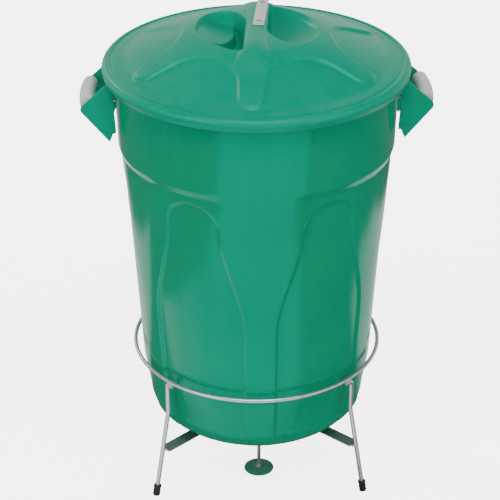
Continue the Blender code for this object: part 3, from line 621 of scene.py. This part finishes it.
def star_mask(x, y):
    """1 on the hub and its six arms, and 0 in the petals between them and round their tips."""
    radius = np.hypot(x, y)
    angle = (np.degrees(np.arctan2(y, x)) + 90.0 + 30.0) % 60.0 - 30.0
    along = radius * np.cos(np.radians(angle))
    across = radius * np.sin(np.radians(angle))
    width = ARM_HALF_WIDTH + np.maximum(0.2 - along, 0.0) * ARM_WIDENING
    arm = width - np.hypot(across, np.maximum(along - ARM_TIP_RADIUS, 0.0))
    hub = HUB_RADIUS - radius
    return smooth_step(-PETAL_EDGE, PETAL_EDGE, smooth_max(hub, arm, 0.05))


def recess_wall(x, y):
    """(mask, distance inside) of the right-hand finger recess: round at the front, squarer at the back."""
    straight = x - BRIDGE_HALF_WIDTH
    reach = RECESS_OUTER_X - BRIDGE_HALF_WIDTH
    u = np.clip(straight / reach, 0.0, 2.0)
    v = np.abs(y) / RECESS_SQUARE_END
    power = RECESS_SQUARE_POWER
    square = (1.0 - (u**power + v**power) ** (1.0 / power)) * reach
    half_length = RECESS_OUTER_X - RECESS_ROUND_X
    round_end = (1.0 - np.hypot((x - RECESS_ROUND_X) / half_length, y / RECESS_ROUND_END)) * half_length
    inside = np.minimum(np.where(y > 0.0, square, round_end), straight)
    return smooth_step(-0.0014, 0.0044, inside), inside


def dished_floor(x, y, inside):
    """A trough beside the bridge, and a dish with a crisp edge that ramps up to the outer side."""
    back = np.where(y > -0.010, 0.047, 0.085)
    dish_edge = 1.0 - np.hypot((x - 0.076) / np.where(x > 0.076, 0.060, 0.041), (y + 0.010) / back)
    dish = 0.7860 + 0.0150 * np.clip((x - 0.050) / 0.054, 0.0, 1.0) ** 1.6
    trough = RECESS_DEEP_Z + 0.010 * smooth_step(0.012, 0.0, inside)
    floor = trough + 0.030 * np.clip((x - 0.040) / 0.064, 0.0, 1.0) ** 1.3
    return floor + (np.maximum(dish, floor) - floor) * smooth_step(-0.06, 0.06, dish_edge)


def bowled_floor(x, y, inside):
    """One smooth bowl, deepest beside the bridge, that rises to the outer side and to the square end."""
    across = np.clip((x - BRIDGE_HALF_WIDTH) / (RECESS_OUTER_X - BRIDGE_HALF_WIDTH), 0.0, 1.0)
    along = np.clip((y + 0.010) / RECESS_SQUARE_END, 0.0, 1.0)
    return 0.7730 + 0.0270 * across**1.35 + 0.0200 * along**2.2 + 0.004 * smooth_step(0.010, 0.0, inside)


def lid_height(x, y):
    """Height of the lid's top surface, in the lid's own turned frame."""
    radius = np.hypot(x, y)
    top = dome(radius)
    sunk = PETAL_DEPTH * (1.0 - star_mask(x, y)) * (1.0 - smooth_step(0.214, 0.238, radius))
    top = top - sunk
    end = smooth_step(BRIDGE_FLAT_HALF, BRIDGE_FOOT_HALF, np.abs(y))
    crown = BRIDGE_TOP_Z - 0.0045 * (np.abs(x) / BRIDGE_HALF_WIDTH) ** 2.6
    lift = np.maximum(crown - dome(radius), 0.0) * (1.0 - end)
    flank = 0.034 + 0.050 * smooth_step(0.03, 0.11, np.abs(y))
    beside = 1.0 - smooth_step(BRIDGE_HALF_WIDTH * 0.4, BRIDGE_HALF_WIDTH + flank, np.abs(x))
    top = top + lift * beside
    for side, floor_shape in ((1.0, bowled_floor), (-1.0, dished_floor)):
        wall, inside = recess_wall(side * x, side * y)
        floor = floor_shape(side * x, side * y, inside)
        top = top + (np.minimum(floor, top) - top) * wall
    return top


def lid_rings(columns, radii, offset):
    rings = [circle(radius, -offset, columns) for radius in radii]
    for ring in rings:
        ring[:, 2] += lid_height(ring[:, 0], ring[:, 1])
    return rings


def lid_mesh():
    columns = 640
    inner_step = 0.0009
    fine = np.arange(0.004, 0.112, inner_step)
    outer = np.linspace(0.112, DOME_EDGE_RADIUS - 0.002, 66)
    top = lid_rings(columns, np.concatenate([fine, outer]), 0.0)
    edge_z = DOME_PROFILE[-1][1]
    roll = [
        (DOME_EDGE_RADIUS, edge_z - 0.0006),
        (DOME_EDGE_RADIUS + 0.0016, edge_z - 0.0002),
        (DOME_EDGE_RADIUS + 0.0032, edge_z + 0.0005),
    ]
    for step in range(1, 13):
        turn = radians(100.0 - 10.0 * step)
        roll.append((0.2425 + 0.0100 * cos(turn), 0.7425 + 0.0098 * sin(turn)))
    roll += [(0.2508, 0.7375), (0.2503, SKIRT_Z + 0.0006), (0.2497, SKIRT_Z)]
    inside = [
        (0.2482, SKIRT_Z), (0.2476, SKIRT_Z + 0.0006), (0.2478, 0.7390), (0.2482, 0.7430),
        (0.2465, 0.7462), (0.2430, 0.7478), (0.2385, 0.7480),
    ]
    under_radii = np.concatenate([fine[::2], outer[::3]])[::-1]
    under = lid_rings(columns, under_radii, LID_WALL)
    edge = [circle(radius, z, columns) for radius, z in roll + inside]
    stack = np.stack(top + edge + under)
    turned = stack.copy()
    turned[..., 0] = stack[..., 0] * cos(LID_TURN) - stack[..., 1] * sin(LID_TURN)
    turned[..., 1] = stack[..., 0] * sin(LID_TURN) + stack[..., 1] * cos(LID_TURN)
    mesh = surface_mesh(
        "lid_shell",
        turned,
        first_pole=(0.0, 0.0, BRIDGE_TOP_Z),
        last_pole=(0.0, 0.0, BRIDGE_TOP_Z - LID_WALL),
    )
    mesh.set_sharp_from_angle(angle=pi)
    return mesh


def make_lid():
    piece("lid_shell", lid_mesh(), "lid", lid_plastic, ["lid"])


def make_lid_strap():
    """A flat bar with rounded corners, slightly askew on the bridge, and its two pan-head screws."""
    low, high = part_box("lid_strap")
    screws = {end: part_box("strap_bolt_" + end) for end in ("front", "rear")}
    front, rear = [(low + high) / 2 for low, high in screws.values()]
    turn = atan2(rear.y - front.y, rear.x - front.x) - pi / 2
    half_width, front_end, rear_end = 0.0092, -0.0090, 0.1180
    outline = bar_outline(-half_width, half_width, front_end, rear_end, 0.0026)
    middle = Matrix.Translation((front.x, front.y, (low.z + high.z) / 2))
    mesh = plate_mesh("strap", outline, high.z - low.z, 0.0006, middle @ Matrix.Rotation(turn, 4, "Z"))
    piece("strap_bar", mesh, "lid", galvanised, ["lid_strap"])
    for end, (low, high) in screws.items():
        where = Vector(((low.x + high.x) / 2, (low.y + high.y) / 2, high.z - HEAD_HEIGHT))
        mesh = cross_head(where, Vector((0.0, 0.0, 1.0)), high.z - low.z - HEAD_HEIGHT)
        piece("strap_screw_" + end, mesh, "lid", zinc, ["strap_bolt_" + end])


def cross_head(seat, outward, shank):
    """A pan-head bolt with a cross recess in its head, and its shank behind the seat."""
    radius, height = HEAD_RADIUS, HEAD_HEIGHT
    profile = [(0.0, height)]
    for step in range(1, 7):
        turn = radians(90.0 * step / 6)
        profile.append((radius * sin(turn) ** 0.8, height * (0.35 + 0.65 * cos(turn))))
    profile += [(radius, 0.0002), (radius - 0.0003, 0.0), (0.0024, 0.0), (0.0024, -shank), (0.0, -shank)]
    body = turned_mesh("bolt", profile, 32)
    for x, y in ((0.0007, 0.0030), (0.0030, 0.0007)):
        slot = box_mesh("slot", (-x, -y, height * 0.55), (x, y, height * 2))
        body = cut_away(body, slot)
    body.transform(Matrix.Translation(seat) @ outward.to_track_quat("Z", "Y").to_matrix().to_4x4())
    return body


def box_mesh(name, low, high):
    low, high = Vector(low), Vector(high)
    work = bmesh.new()
    bmesh.ops.create_cube(work, size=1.0, matrix=Matrix.LocRotScale((high + low) / 2, None, high - low))
    mesh = bpy.data.meshes.new(name)
    work.to_mesh(mesh)
    work.free()
    return mesh


# ---------------------------------------------------------------- handles


def ear_outline():
    """An ear plate seen from the front, as the right-hand one."""
    notch_x, notch_z, notch = 0.2303, 0.6385, 0.0064
    corners = [
        (0.2350, 0.7305, 0.0), (0.2425, 0.7305, 0.0030), (0.2905, 0.6870, 0.0090),
        (0.2410, 0.6275, 0.0008),
    ]
    turns = [radians(90.0 * i / 8) for i in range(9)]
    arc = [(notch_x + notch * cos(a), notch_z + notch * sin(a)) for a in turns]
    return rounded(corners) + arc + [(0.2305, notch_z + notch), (0.2305, 0.6500)]


def back_plate(direction):
    """The curved plate on the bin's wall, with rounded corners and a rolled edge."""
    half_width, low, high, thickness = 0.0640, 0.6450, 0.7290, 0.0032
    corner, gap = 0.006, 0.0003
    rows, columns = 25, 49
    z = np.linspace(low, high, rows)[:, None]
    past = np.maximum(corner - np.minimum(z - low, high - z), 0.0)
    inset = corner - np.sqrt(corner**2 - past**2)
    wall = panel_radius(z)
    angle = np.arcsin((half_width - inset) / wall) * np.linspace(-1.0, 1.0, columns)
    points = []
    for radius in (wall + thickness, wall + gap):
        sheet = np.stack([direction * radius * np.cos(angle), radius * np.sin(angle), z + 0 * angle], -1)
        points += sheet.reshape(-1, 3).tolist()
    count = rows * columns
    index = np.arange(count).reshape(rows, columns)
    quads = np.stack([index[:-1, :-1], index[:-1, 1:], index[1:, 1:], index[1:, :-1]], -1).reshape(-1, 4)
    faces = quads.tolist() + (count + quads[:, ::-1]).tolist()
    loop = np.concatenate([index[0], index[1:, -1], index[-1, -2::-1], index[-2:0:-1, 0]])
    after = np.roll(loop, -1)
    faces += np.stack([loop, after, count + after, count + loop], -1).tolist()
    mesh = bpy.data.meshes.new("back_plate")
    mesh.from_pydata(points, [], faces)
    fix_normals(mesh, 35.0)
    return mesh


def make_handle(side, direction):
    turn = Matrix.Rotation(0.0 if direction > 0 else pi, 4, "Z")
    parts = [back_plate(direction)]
    upright = Matrix.Rotation(pi / 2, 4, "X")
    for end in (-1, 1):
        where = Matrix.Translation((0.0, end * EAR_SPACING, 0.0))
        parts.append(plate_mesh("ear", ear_outline(), EAR_THICKNESS, 0.0008, turn @ where @ upright))
    bracket = joined("bracket", parts)
    piece(f"bracket_{side}", bracket, "bin", green_plastic, ["handle_bracket_" + side])
    low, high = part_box("handle_grip_right")
    radius = (high.z - low.z) / 2
    z = (high.z + low.z) / 2
    centre_radius = high.x - radius
    half_angle = degrees(asin(GRIP_HALF_LENGTH / centre_radius))
    base = 0.0 if direction > 0 else 180.0
    points = [spin(base + half_angle * (i / 12 - 1), centre_radius, z) for i in range(25)]
    grip = rod_mesh("grip", points, radius, sides=10)
    piece(f"grip_{side}", grip, "bin", grip_plastic, ["handle_grip_" + side])
    for end in ("front", "rear"):
        name = f"handle_bolt_{side}_{end}"
        low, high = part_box(name)
        y, z_bolt = (low.y + high.y) / 2, (low.z + high.z) / 2
        outer = high.x if direction > 0 else low.x
        seat = Vector((outer - direction * HEAD_HEIGHT, y, z_bolt))
        mesh = cross_head(seat, Vector((direction, 0.0, 0.0)), high.x - low.x - HEAD_HEIGHT)
        piece(f"bracket_screw_{side}_{end}", mesh, "bin", zinc, [name])


# ---------------------------------------------------------------- stand


RING_LOW, RING_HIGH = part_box("stand_ring")
RING_ROD = (RING_HIGH.z - RING_LOW.z) / 2
RING_RADIUS = RING_HIGH.x - RING_ROD
RING_Z = (RING_HIGH.z + RING_LOW.z) / 2
LEG_ROD = 0.0040
LEG_BEND_Z = 0.160
FOOT_RADIUS = 0.2475
LEG_TURN = 42.8
LEG_ANGLES = {
    "front_left": LEG_TURN - 180.0,
    "front_right": -LEG_TURN,
    "rear_right": LEG_TURN,
    "rear_left": 180.0 - LEG_TURN,
}


def leg_direction(angle):
    return (spin(angle, RING_RADIUS, LEG_BEND_Z) - spin(angle, FOOT_RADIUS, 0.0)).normalized()


def leg_points(angle):
    """Centre line of a leg: foot, bend, upright, and the end that is welded along under the ring."""
    outward = spin(angle, 1.0, 0.0)
    lower = leg_direction(angle)
    bend = spin(angle, RING_RADIUS, LEG_BEND_Z)
    splay = acos(lower.z)
    bend_radius = 0.030
    centre = bend + Vector((0.0, 0.0, bend_radius * tan(splay / 2))) + outward * bend_radius
    points = [spin(angle, FOOT_RADIUS, 0.0) + lower * 0.0052]
    for step in range(9):
        turn = splay * (1 - step / 8)
        points.append(centre - (outward * cos(turn) + Vector((0.0, 0.0, sin(turn)))) * bend_radius)
    weld_z = RING_Z - RING_ROD - LEG_ROD
    towards_middle = 1.0 if cos(radians(angle)) * sin(radians(angle)) > 0 else -1.0
    top_radius = 0.006
    for step in range(9):
        turn = radians(90.0 * step / 8)
        around = towards_middle * top_radius * (1 - cos(turn)) / RING_RADIUS
        points.append(spin(angle + degrees(around), RING_RADIUS, weld_z - top_radius * (1 - sin(turn))))
    around = towards_middle * 0.013 / RING_RADIUS
    points.append(spin(angle + degrees(around), RING_RADIUS, weld_z))
    return points, towards_middle


def weld_bead(points, radius):
    """A lumpy fillet weld along a short line."""
    work = bmesh.new()
    for i, where in enumerate(points):
        size = radius * (1.0 + 0.22 * sin(2.4 * i))
        place = Matrix.Translation(where)
        bmesh.ops.create_uvsphere(work, u_segments=12, v_segments=8, radius=size, matrix=place)
    mesh = bpy.data.meshes.new("beads")
    work.to_mesh(mesh)
    work.free()
    return joined("weld", [mesh])


def make_stand():
    ring = rod_mesh("ring", [spin(360 * i / 160, RING_RADIUS, RING_Z) for i in range(160)], RING_ROD, True)
    piece("ring_rod", ring, "stand", stand_steel, ["stand_ring"])
    strap_z = (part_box("cross_strap_upper")[0].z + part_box("cross_strap_lower")[1].z) / 2
    for side, angle in LEG_ANGLES.items():
        points, towards_middle = leg_points(angle)
        leg = rod_mesh("leg", points, LEG_ROD)
        piece("leg_rod_" + side, leg, "stand", stand_steel, ["leg_" + side])
        weld_z = RING_Z - RING_ROD
        line = []
        for step in range(5):
            around = degrees(towards_middle * (0.003 + 0.0024 * step) / RING_RADIUS)
            line.append(spin(angle + around, RING_RADIUS + 0.0012, weld_z))
        along = leg_direction(angle)
        cross = spin(angle, FOOT_RADIUS, 0.0) + along * (strap_z / along.z)
        side_way = spin(angle + 90.0, 1.0, 0.0)
        inward = -spin(angle, 1.0, 0.0)
        line += [cross + inward * 0.004 + side_way * (0.003 * step) for step in (-2, -1, 0, 1, 2)]
        piece("weld_" + side, weld_bead(line, 0.0019), "stand", stand_steel)
        make_foot(side, angle)


def make_foot(side, angle):
    """A moulded cap with a rolled mouth and a flat sole."""
    radius, length = 0.0064, 0.022
    tilt = acos(leg_direction(angle).z)
    sole = radius * sin(tilt)
    profile = [
        (0.0, sole), (radius - 0.0016, sole), (radius - 0.0004, sole + 0.0008),
        (radius, sole + 0.0022), (radius, length - 0.0042), (radius + 0.0006, length - 0.0034),
        (radius + 0.0006, length - 0.0008), (radius + 0.0001, length), (LEG_ROD + 0.0001, length),
        (LEG_ROD + 0.0001, 0.008), (0.0, 0.008),
    ]
    mesh = turned_mesh("cap", profile, 32)
    turn = leg_direction(angle).to_track_quat("Z", "Y").to_matrix().to_4x4()
    mesh.transform(Matrix.Translation(spin(angle, FOOT_RADIUS, 0.0)) @ turn)
    piece("cap_" + side, mesh, "stand", black_rubber, ["foot_cap_" + side])


def make_cross_straps():
    for name, angle in (("cross_strap_upper", -LEG_TURN), ("cross_strap_lower", LEG_TURN)):
        low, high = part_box(name)
        width = 0.022
        half_length = (high.x - width / 2 * sin(radians(LEG_TURN))) / cos(radians(LEG_TURN))
        outline = bar_outline(-half_length, half_length, -width / 2, width / 2, 0.003)
        where = Matrix.Translation((0.0, 0.0, (low.z + high.z) / 2))
        place = Matrix.Rotation(radians(angle), 4, "Z") @ where
        mesh = plate_mesh(name, outline, high.z - low.z, 0.0006, place)
        # The straps get the darker steel with painted shade and painted green reflection.
        piece(name + "_bar", mesh, "stand", strap_painted_shade_steel, [name])


# ---------------------------------------------------------------- outlet and pendulum


def make_disc():
    """The trigger disc: slightly dished, with a turned-down rim and a pressed hub."""
    low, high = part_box("trigger_disc")
    radius = high.x
    profile = [
        (0.0036, high.z), (0.0090, high.z), (0.0100, high.z - 0.0004),
        (radius - 0.0016, high.z - 0.0004), (radius - 0.0004, high.z - 0.0008),
        (radius, high.z - 0.0014), (radius - 0.0003, low.z + 0.0002), (radius - 0.0009, low.z),
        (0.0036, low.z),
    ]
    mesh = turned_mesh("disc", profile, 72, (0.0, OUTLET_Y, 0.0))
    piece("disc", mesh, "pendulum", painted_disc("disc_green"), ["trigger_disc"])


def hex_nut_mesh(name, low, high, radius, hole):
    """A hexagon nut with chamfered corners, as the overlap of a prism and a turned form."""
    height, columns = high.z - low.z, 48
    angles = np.linspace(0.0, 2 * pi, columns, endpoint=False)
    wedge = (angles + pi / 6) % (pi / 3) - pi / 6
    flat = radius * cos(pi / 6) / np.cos(pi / 6 - np.abs(wedge))
    levels = [(np.minimum(flat, radius * 0.90), 0.0)]
    levels += [(np.minimum(flat, radius), 0.12), (np.minimum(flat, radius), 0.88)]
    levels += [(np.minimum(flat, radius * 0.90), 1.0), (hole, 1.0), (hole, 0.0)]
    centre_y = (low.y + high.y) / 2
    rings = [circle(reach, low.z + level * height, columns, centre_y) for reach, level in levels]
    rings.append(rings[0])
    mesh = surface_mesh(name, np.array(rings))
    mesh.set_sharp_from_angle(angle=radians(25.0))
    return mesh


def make_rod_nuts():
    for name, body in (
        ("disc_nut_upper", "pendulum"),
        ("disc_nut_lower", "pendulum"),
        ("valve_nut_upper", "pendulum"),
        ("valve_nut_lower", "pendulum"),
        ("hanger_eye_nut", "bin"),
    ):
        low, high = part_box(name)
        mesh = hex_nut_mesh(name, low, high, (high.y - low.y) / 2, ROD_RADIUS)
        piece("hex_" + name, mesh, body, zinc, [name])


def arc_points(centre_z, start, sweep, radius, steps=28):
    turns = [radians(start + sweep * i / steps) for i in range(steps + 1)]
    return [(0.0, OUTLET_Y + radius * cos(a), centre_z + radius * sin(a)) for a in turns]


def make_rods():
    """The rod with its eye, the hanger eye and the oval link, as smooth bent rods."""
    eye_radius = 0.0075
    low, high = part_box("pendulum_rod")
    centre = high.z - ROD_RADIUS - eye_radius
    shank = [(0.0, OUTLET_Y, low.z + 0.0008), (0.0, OUTLET_Y, centre - eye_radius - 0.002)]
    mesh = rod_mesh("rod", shank + arc_points(centre, -60.0, 265.0, eye_radius), ROD_RADIUS, sides=6)
    tip = turned_mesh("tip", [(0.0, 0.0), (0.0024, 0.0), (ROD_RADIUS, 0.0008), (0.0, 0.0008)], 24)
    tip.transform(Matrix.Translation((0.0, OUTLET_Y, low.z)))
    rod = joined("rod", [mesh, tip])
    piece("swing_rod", rod, "pendulum", pendulum_steel, ["pendulum_rod"])
    low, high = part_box("hanger_eye")
    centre = low.z + ROD_RADIUS + eye_radius
    shank = [(0.0, OUTLET_Y, high.z), (0.0, OUTLET_Y, centre + eye_radius + 0.002)]
    mesh = rod_mesh("eye", shank + arc_points(centre, 60.0, -265.0, eye_radius), ROD_RADIUS, sides=6)
    piece("eye_bolt", mesh, "bin", pendulum_steel, ["hanger_eye"])
    low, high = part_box("swing_link")
    rod_radius = (high.y - low.y) / 2
    half_width = high.x - rod_radius
    points = []
    reach = rod_radius + half_width
    for centre_z, start in ((high.z - reach, 0.0), (low.z + reach, 180.0)):
        for i in range(17):
            a = radians(start + 180.0 * i / 16)
            points.append((half_width * cos(a), OUTLET_Y, centre_z + half_width * sin(a)))
    mesh = rod_mesh("link", points, rod_radius, True)
    piece("oval_link", mesh, "link", pendulum_steel, ["swing_link"])


def make_hanger():
    """The bent bar over the outlet, with rounded bends."""
    low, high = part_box("hanger_bridge")
    thickness, half_span = 0.003, 0.038
    foot, top = low.z + thickness / 2, high.z - thickness / 2
    bend = 0.0035
    corners = [
        (low.x, foot, 0.0), (-half_span, foot, bend), (-half_span, top, bend),
        (half_span, top, bend), (half_span, foot, bend), (high.x, foot, 0.0),
    ]
    line = [Vector(p) for p in rounded(corners)]
    left, right = [], []
    for i, here in enumerate(line):
        along = (line[min(i + 1, len(line) - 1)] - line[max(i - 1, 0)]).normalized()
        side = Vector((-along.y, along.x)) * thickness / 2
        left.append(tuple(here + side))
        right.append(tuple(here - side))
    place = Matrix.Translation((0.0, OUTLET_Y, 0.0)) @ Matrix.Rotation(pi / 2, 4, "X")
    mesh = plate_mesh("bar", left + right[::-1], high.y - low.y, 0.0004, place)
    piece("hanger_bar", mesh, "bin", galvanised, ["hanger_bridge"])


def make_outlet():
    """Spout with rounded edges, and its ribbed locknut inside the bin."""
    low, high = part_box("outlet_spout")
    flange_radius = high.x
    bore, tube = 0.0160, 0.0185
    under = FLOOR_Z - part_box("outlet_gasket")[0].z
    flange_top = FLOOR_Z - under - 0.0003
    flange_low = flange_top - 0.003
    profile = [
        (bore, high.z - 0.0006), (bore + 0.0006, high.z), (tube - 0.0006, high.z),
        (tube, high.z - 0.0006), (tube, flange_top), (flange_radius - 0.0005, flange_top),
        (flange_radius, flange_top - 0.0006), (flange_radius, flange_low + 0.0008),
        (flange_radius - 0.0010, flange_low), (tube + 0.0010, flange_low),
        (tube, flange_low - 0.0010), (tube, low.z + 0.0007), (tube - 0.0007, low.z),
        (bore + 0.0006, low.z), (bore, low.z + 0.0006),
    ]
    mesh = turned_mesh("spout", profile, 72, (0.0, OUTLET_Y, 0.0))
    piece("spout", mesh, "bin", spout_plastic, ["outlet_spout"])
    low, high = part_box("outlet_locknut")
    radius = high.x
    columns = 96
    angles = np.linspace(0.0, 2 * pi, columns, endpoint=False)
    teeth = radius - 0.0014 * (0.5 + 0.5 * np.cos(12 * angles)) ** 3
    rings = []
    for reach, z in (
        (tube + 0.0004, low.z), (teeth - 0.0006, low.z), (teeth, low.z + 0.0006),
        (teeth, high.z - 0.0006), (teeth - 0.0006, high.z), (tube + 0.0004, high.z),
    ):
        rings.append(circle(reach, z, columns, OUTLET_Y))
    rings.append(rings[0])
    mesh = surface_mesh("locknut", np.stack(rings))
    piece("locknut", mesh, "bin", spout_plastic, ["outlet_locknut"])


def finish_cad_nodes():
    """CAD nodes that stay as they are get their finish here."""
    finishes = {
        "outlet_gasket": black_rubber,
        "valve_plate": black_rubber,
    }
    for name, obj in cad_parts.items():
        found = finishes.get(name)
        if found is None and name.startswith(("handle_nut", "hanger_bolt", "hanger_nut", "strap_nut")):
            found = zinc
        if found is not None:
            obj.data.materials.clear()
            obj.data.materials.append(found)


# ---------------------------------------------------------------- stage


def make_floor():
    """A pale floor. It looks paler straight to the camera than it lights the feeder."""
    mesh = box_mesh("floor", (-14.0, -14.0, -0.02), (14.0, 14.0, -0.0002))
    floor = placed("floor", mesh)
    floor.visible_glossy = False
    nodes = Nodes("pale_floor")
    cloud = nodes.noise(1.4, 2.0)
    nodes.set("Base Color", nodes.ramp(cloud, 0.3, 0.7, (0.90, 0.90, 0.90), (0.93, 0.93, 0.93)))
    nodes.set("Roughness", 0.9)
    nodes.set("Specular IOR Level", 0.0)
    seen = nodes.add("LightPath").outputs["Is Camera Ray"]
    nodes.glow(nodes.ramp(seen, 0.0, 1.0, 0.0, FLOOR_WHITE))
    mesh.materials.append(nodes.material)


def grown(outline, margin):
    """The outline (anticlockwise) moved outwards by the margin."""
    moved = []
    for i, point in enumerate(outline):
        here = Vector(point)
        before = (here - Vector(outline[i - 1])).normalized()
        after = (Vector(outline[(i + 1) % len(outline)]) - here).normalized()
        along = (before + after).normalized()
        outward = Vector((along.y, -along.x))
        moved.append(here + outward * margin)
    return moved


def make_card(name, outline, glow, margin=0.055):
    """A sheet lying on the floor, which shows only as a soft-edged reflection in the glossy wall."""
    points = [(*p, 0.001) for edge in (-margin, margin) for p in grown(outline, edge)]
    count = len(outline)
    faces = [tuple(range(count))]
    faces += [(i, (i + 1) % count, count + (i + 1) % count, count + i) for i in range(count)]
    mesh = bpy.data.meshes.new(name)
    mesh.from_pydata(points, [], faces)
    fade = mesh.attributes.new("fade", "FLOAT", "POINT")
    for i, value in enumerate(fade.data):
        value.value = 1.0 if i < count else 0.0
    card = placed(name, mesh)
    for kind in ("camera", "diffuse", "transmission", "volume_scatter", "shadow"):
        setattr(card, "visible_" + kind, False)
    nodes = Nodes(name)
    nodes.set("Base Color", (0.0, 0.0, 0.0))
    edge = nodes.add("Attribute")
    edge.attribute_name = "fade"
    nodes.glow(nodes.ramp(edge.outputs["Fac"], 0.0, 1.0, 0.0, glow))
    nodes.material.cycles.emission_sampling = "NONE"
    mesh.materials.append(nodes.material)


def make_cards():
    front = [
        (-0.70, 0.02), (-0.70, -0.42), (-0.61, -0.60), (-0.66, -1.00), (-0.85, -1.50),
        (-0.95, -2.40), (1.90, -2.40), (0.90, -1.20), (0.45, -0.66), (0.24, -0.34), (0.0, -0.28),
    ]
    back = [
        (0.0, 0.20), (0.68, -0.02), (0.90, 0.08), (0.95, 0.42), (0.70, 0.78), (0.52, 1.05),
        (0.40, 3.00), (-0.70, 3.00), (-0.70, 0.62), (-0.98, 0.20),
    ]
    make_card("front_card", front, 1.35)
    make_card("back_card", back, 1.10)


def make_world():
    """Pale at the horizon and dim above and below, for reflections. The camera itself sees plain white."""
    world = bpy.data.worlds.new("studio")
    world.use_nodes = True
    tree = world.node_tree
    way, split, height, ramp, seen, backdrop = [
        tree.nodes.new("ShaderNode" + kind)
        for kind in ("TexCoord", "SeparateXYZ", "MapRange", "ValToRGB", "LightPath", "Mix")
    ]
    height.inputs["From Min"].default_value = -1.0
    stops = ramp.color_ramp.elements
    for position in (0.27, 0.34, 0.42, 0.50, 0.62, 0.72, 0.85):
        stops.new(position)
    for stop, shade in zip(stops, (0.10, 0.12, 0.55, 0.90, 1.0, 0.80, 0.45, 0.16, 0.12)):
        stop.color = (shade, shade, shade, 1.0)
    backdrop.data_type = "RGBA"
    backdrop.inputs["B"].default_value = (BACKDROP_WHITE, BACKDROP_WHITE, BACKDROP_WHITE, 1.0)
    background = tree.nodes["Background"]
    background.inputs["Strength"].default_value = WORLD_STRENGTH
    for output, socket in (
        (way.outputs["Generated"], split.inputs["Vector"]),
        (split.outputs["Z"], height.inputs["Value"]),
        (height.outputs["Result"], ramp.inputs["Fac"]),
        (ramp.outputs["Color"], backdrop.inputs["A"]),
        (seen.outputs["Is Camera Ray"], backdrop.inputs["Factor"]),
        (backdrop.outputs["Result"], background.inputs["Color"]),
    ):
        tree.links.new(output, socket)
    bpy.context.scene.world = world


def area_light(name, where, target, size, power):
    data = bpy.data.lights.new(name, "AREA")
    data.size = size
    data.energy = power
    light = placed(name, data)
    light.location = where
    light.rotation_euler = (Vector(target) - Vector(where)).to_track_quat("-Z", "Y").to_euler()
    light.visible_camera = False
    return light


def make_lights():
    middle = (0.0, 0.0, 0.45)
    area_light("top", (0.0, -1.1, 2.9), middle, 1.5, 40.0)
    area_light("key", (-1.9, -1.7, 1.9), middle, 1.2, 22.0)
    area_light("fill", (2.1, -1.5, 1.6), middle, 1.2, 12.0)
    area_light("edge", (-1.9, 2.1, 2.0), (0.0, 0.0, 0.8), 0.6, 12.0)
    back = area_light("back", (0.3, 2.4, 1.5), middle, 1.4, 40.0)
    back.visible_glossy = False


def make_camera():
    data = bpy.data.cameras.new("camera")
    data.sensor_width = 36.0
    data.lens = CAMERA_LENS
    data.shift_x = CAMERA_SHIFT_X
    camera = placed("camera", data)
    flat = cos(CAMERA_ELEVATION)
    offset = Vector((-sin(CAMERA_AZIMUTH) * flat, -cos(CAMERA_AZIMUTH) * flat, sin(CAMERA_ELEVATION)))
    camera.location = CAMERA_TARGET + offset * CAMERA_DISTANCE
    camera.rotation_euler = (-offset).to_track_quat("-Z", "Y").to_euler()
    bpy.context.scene.camera = camera


make_camera()
make_world()
make_lights()
make_floor()
make_cards()
make_bin()
make_lid()
make_lid_strap()
make_handle("right", 1)
make_handle("left", -1)
make_stand()
make_cross_straps()
make_disc()
make_rod_nuts()
make_rods()
make_hanger()
make_outlet()
finish_cad_nodes()
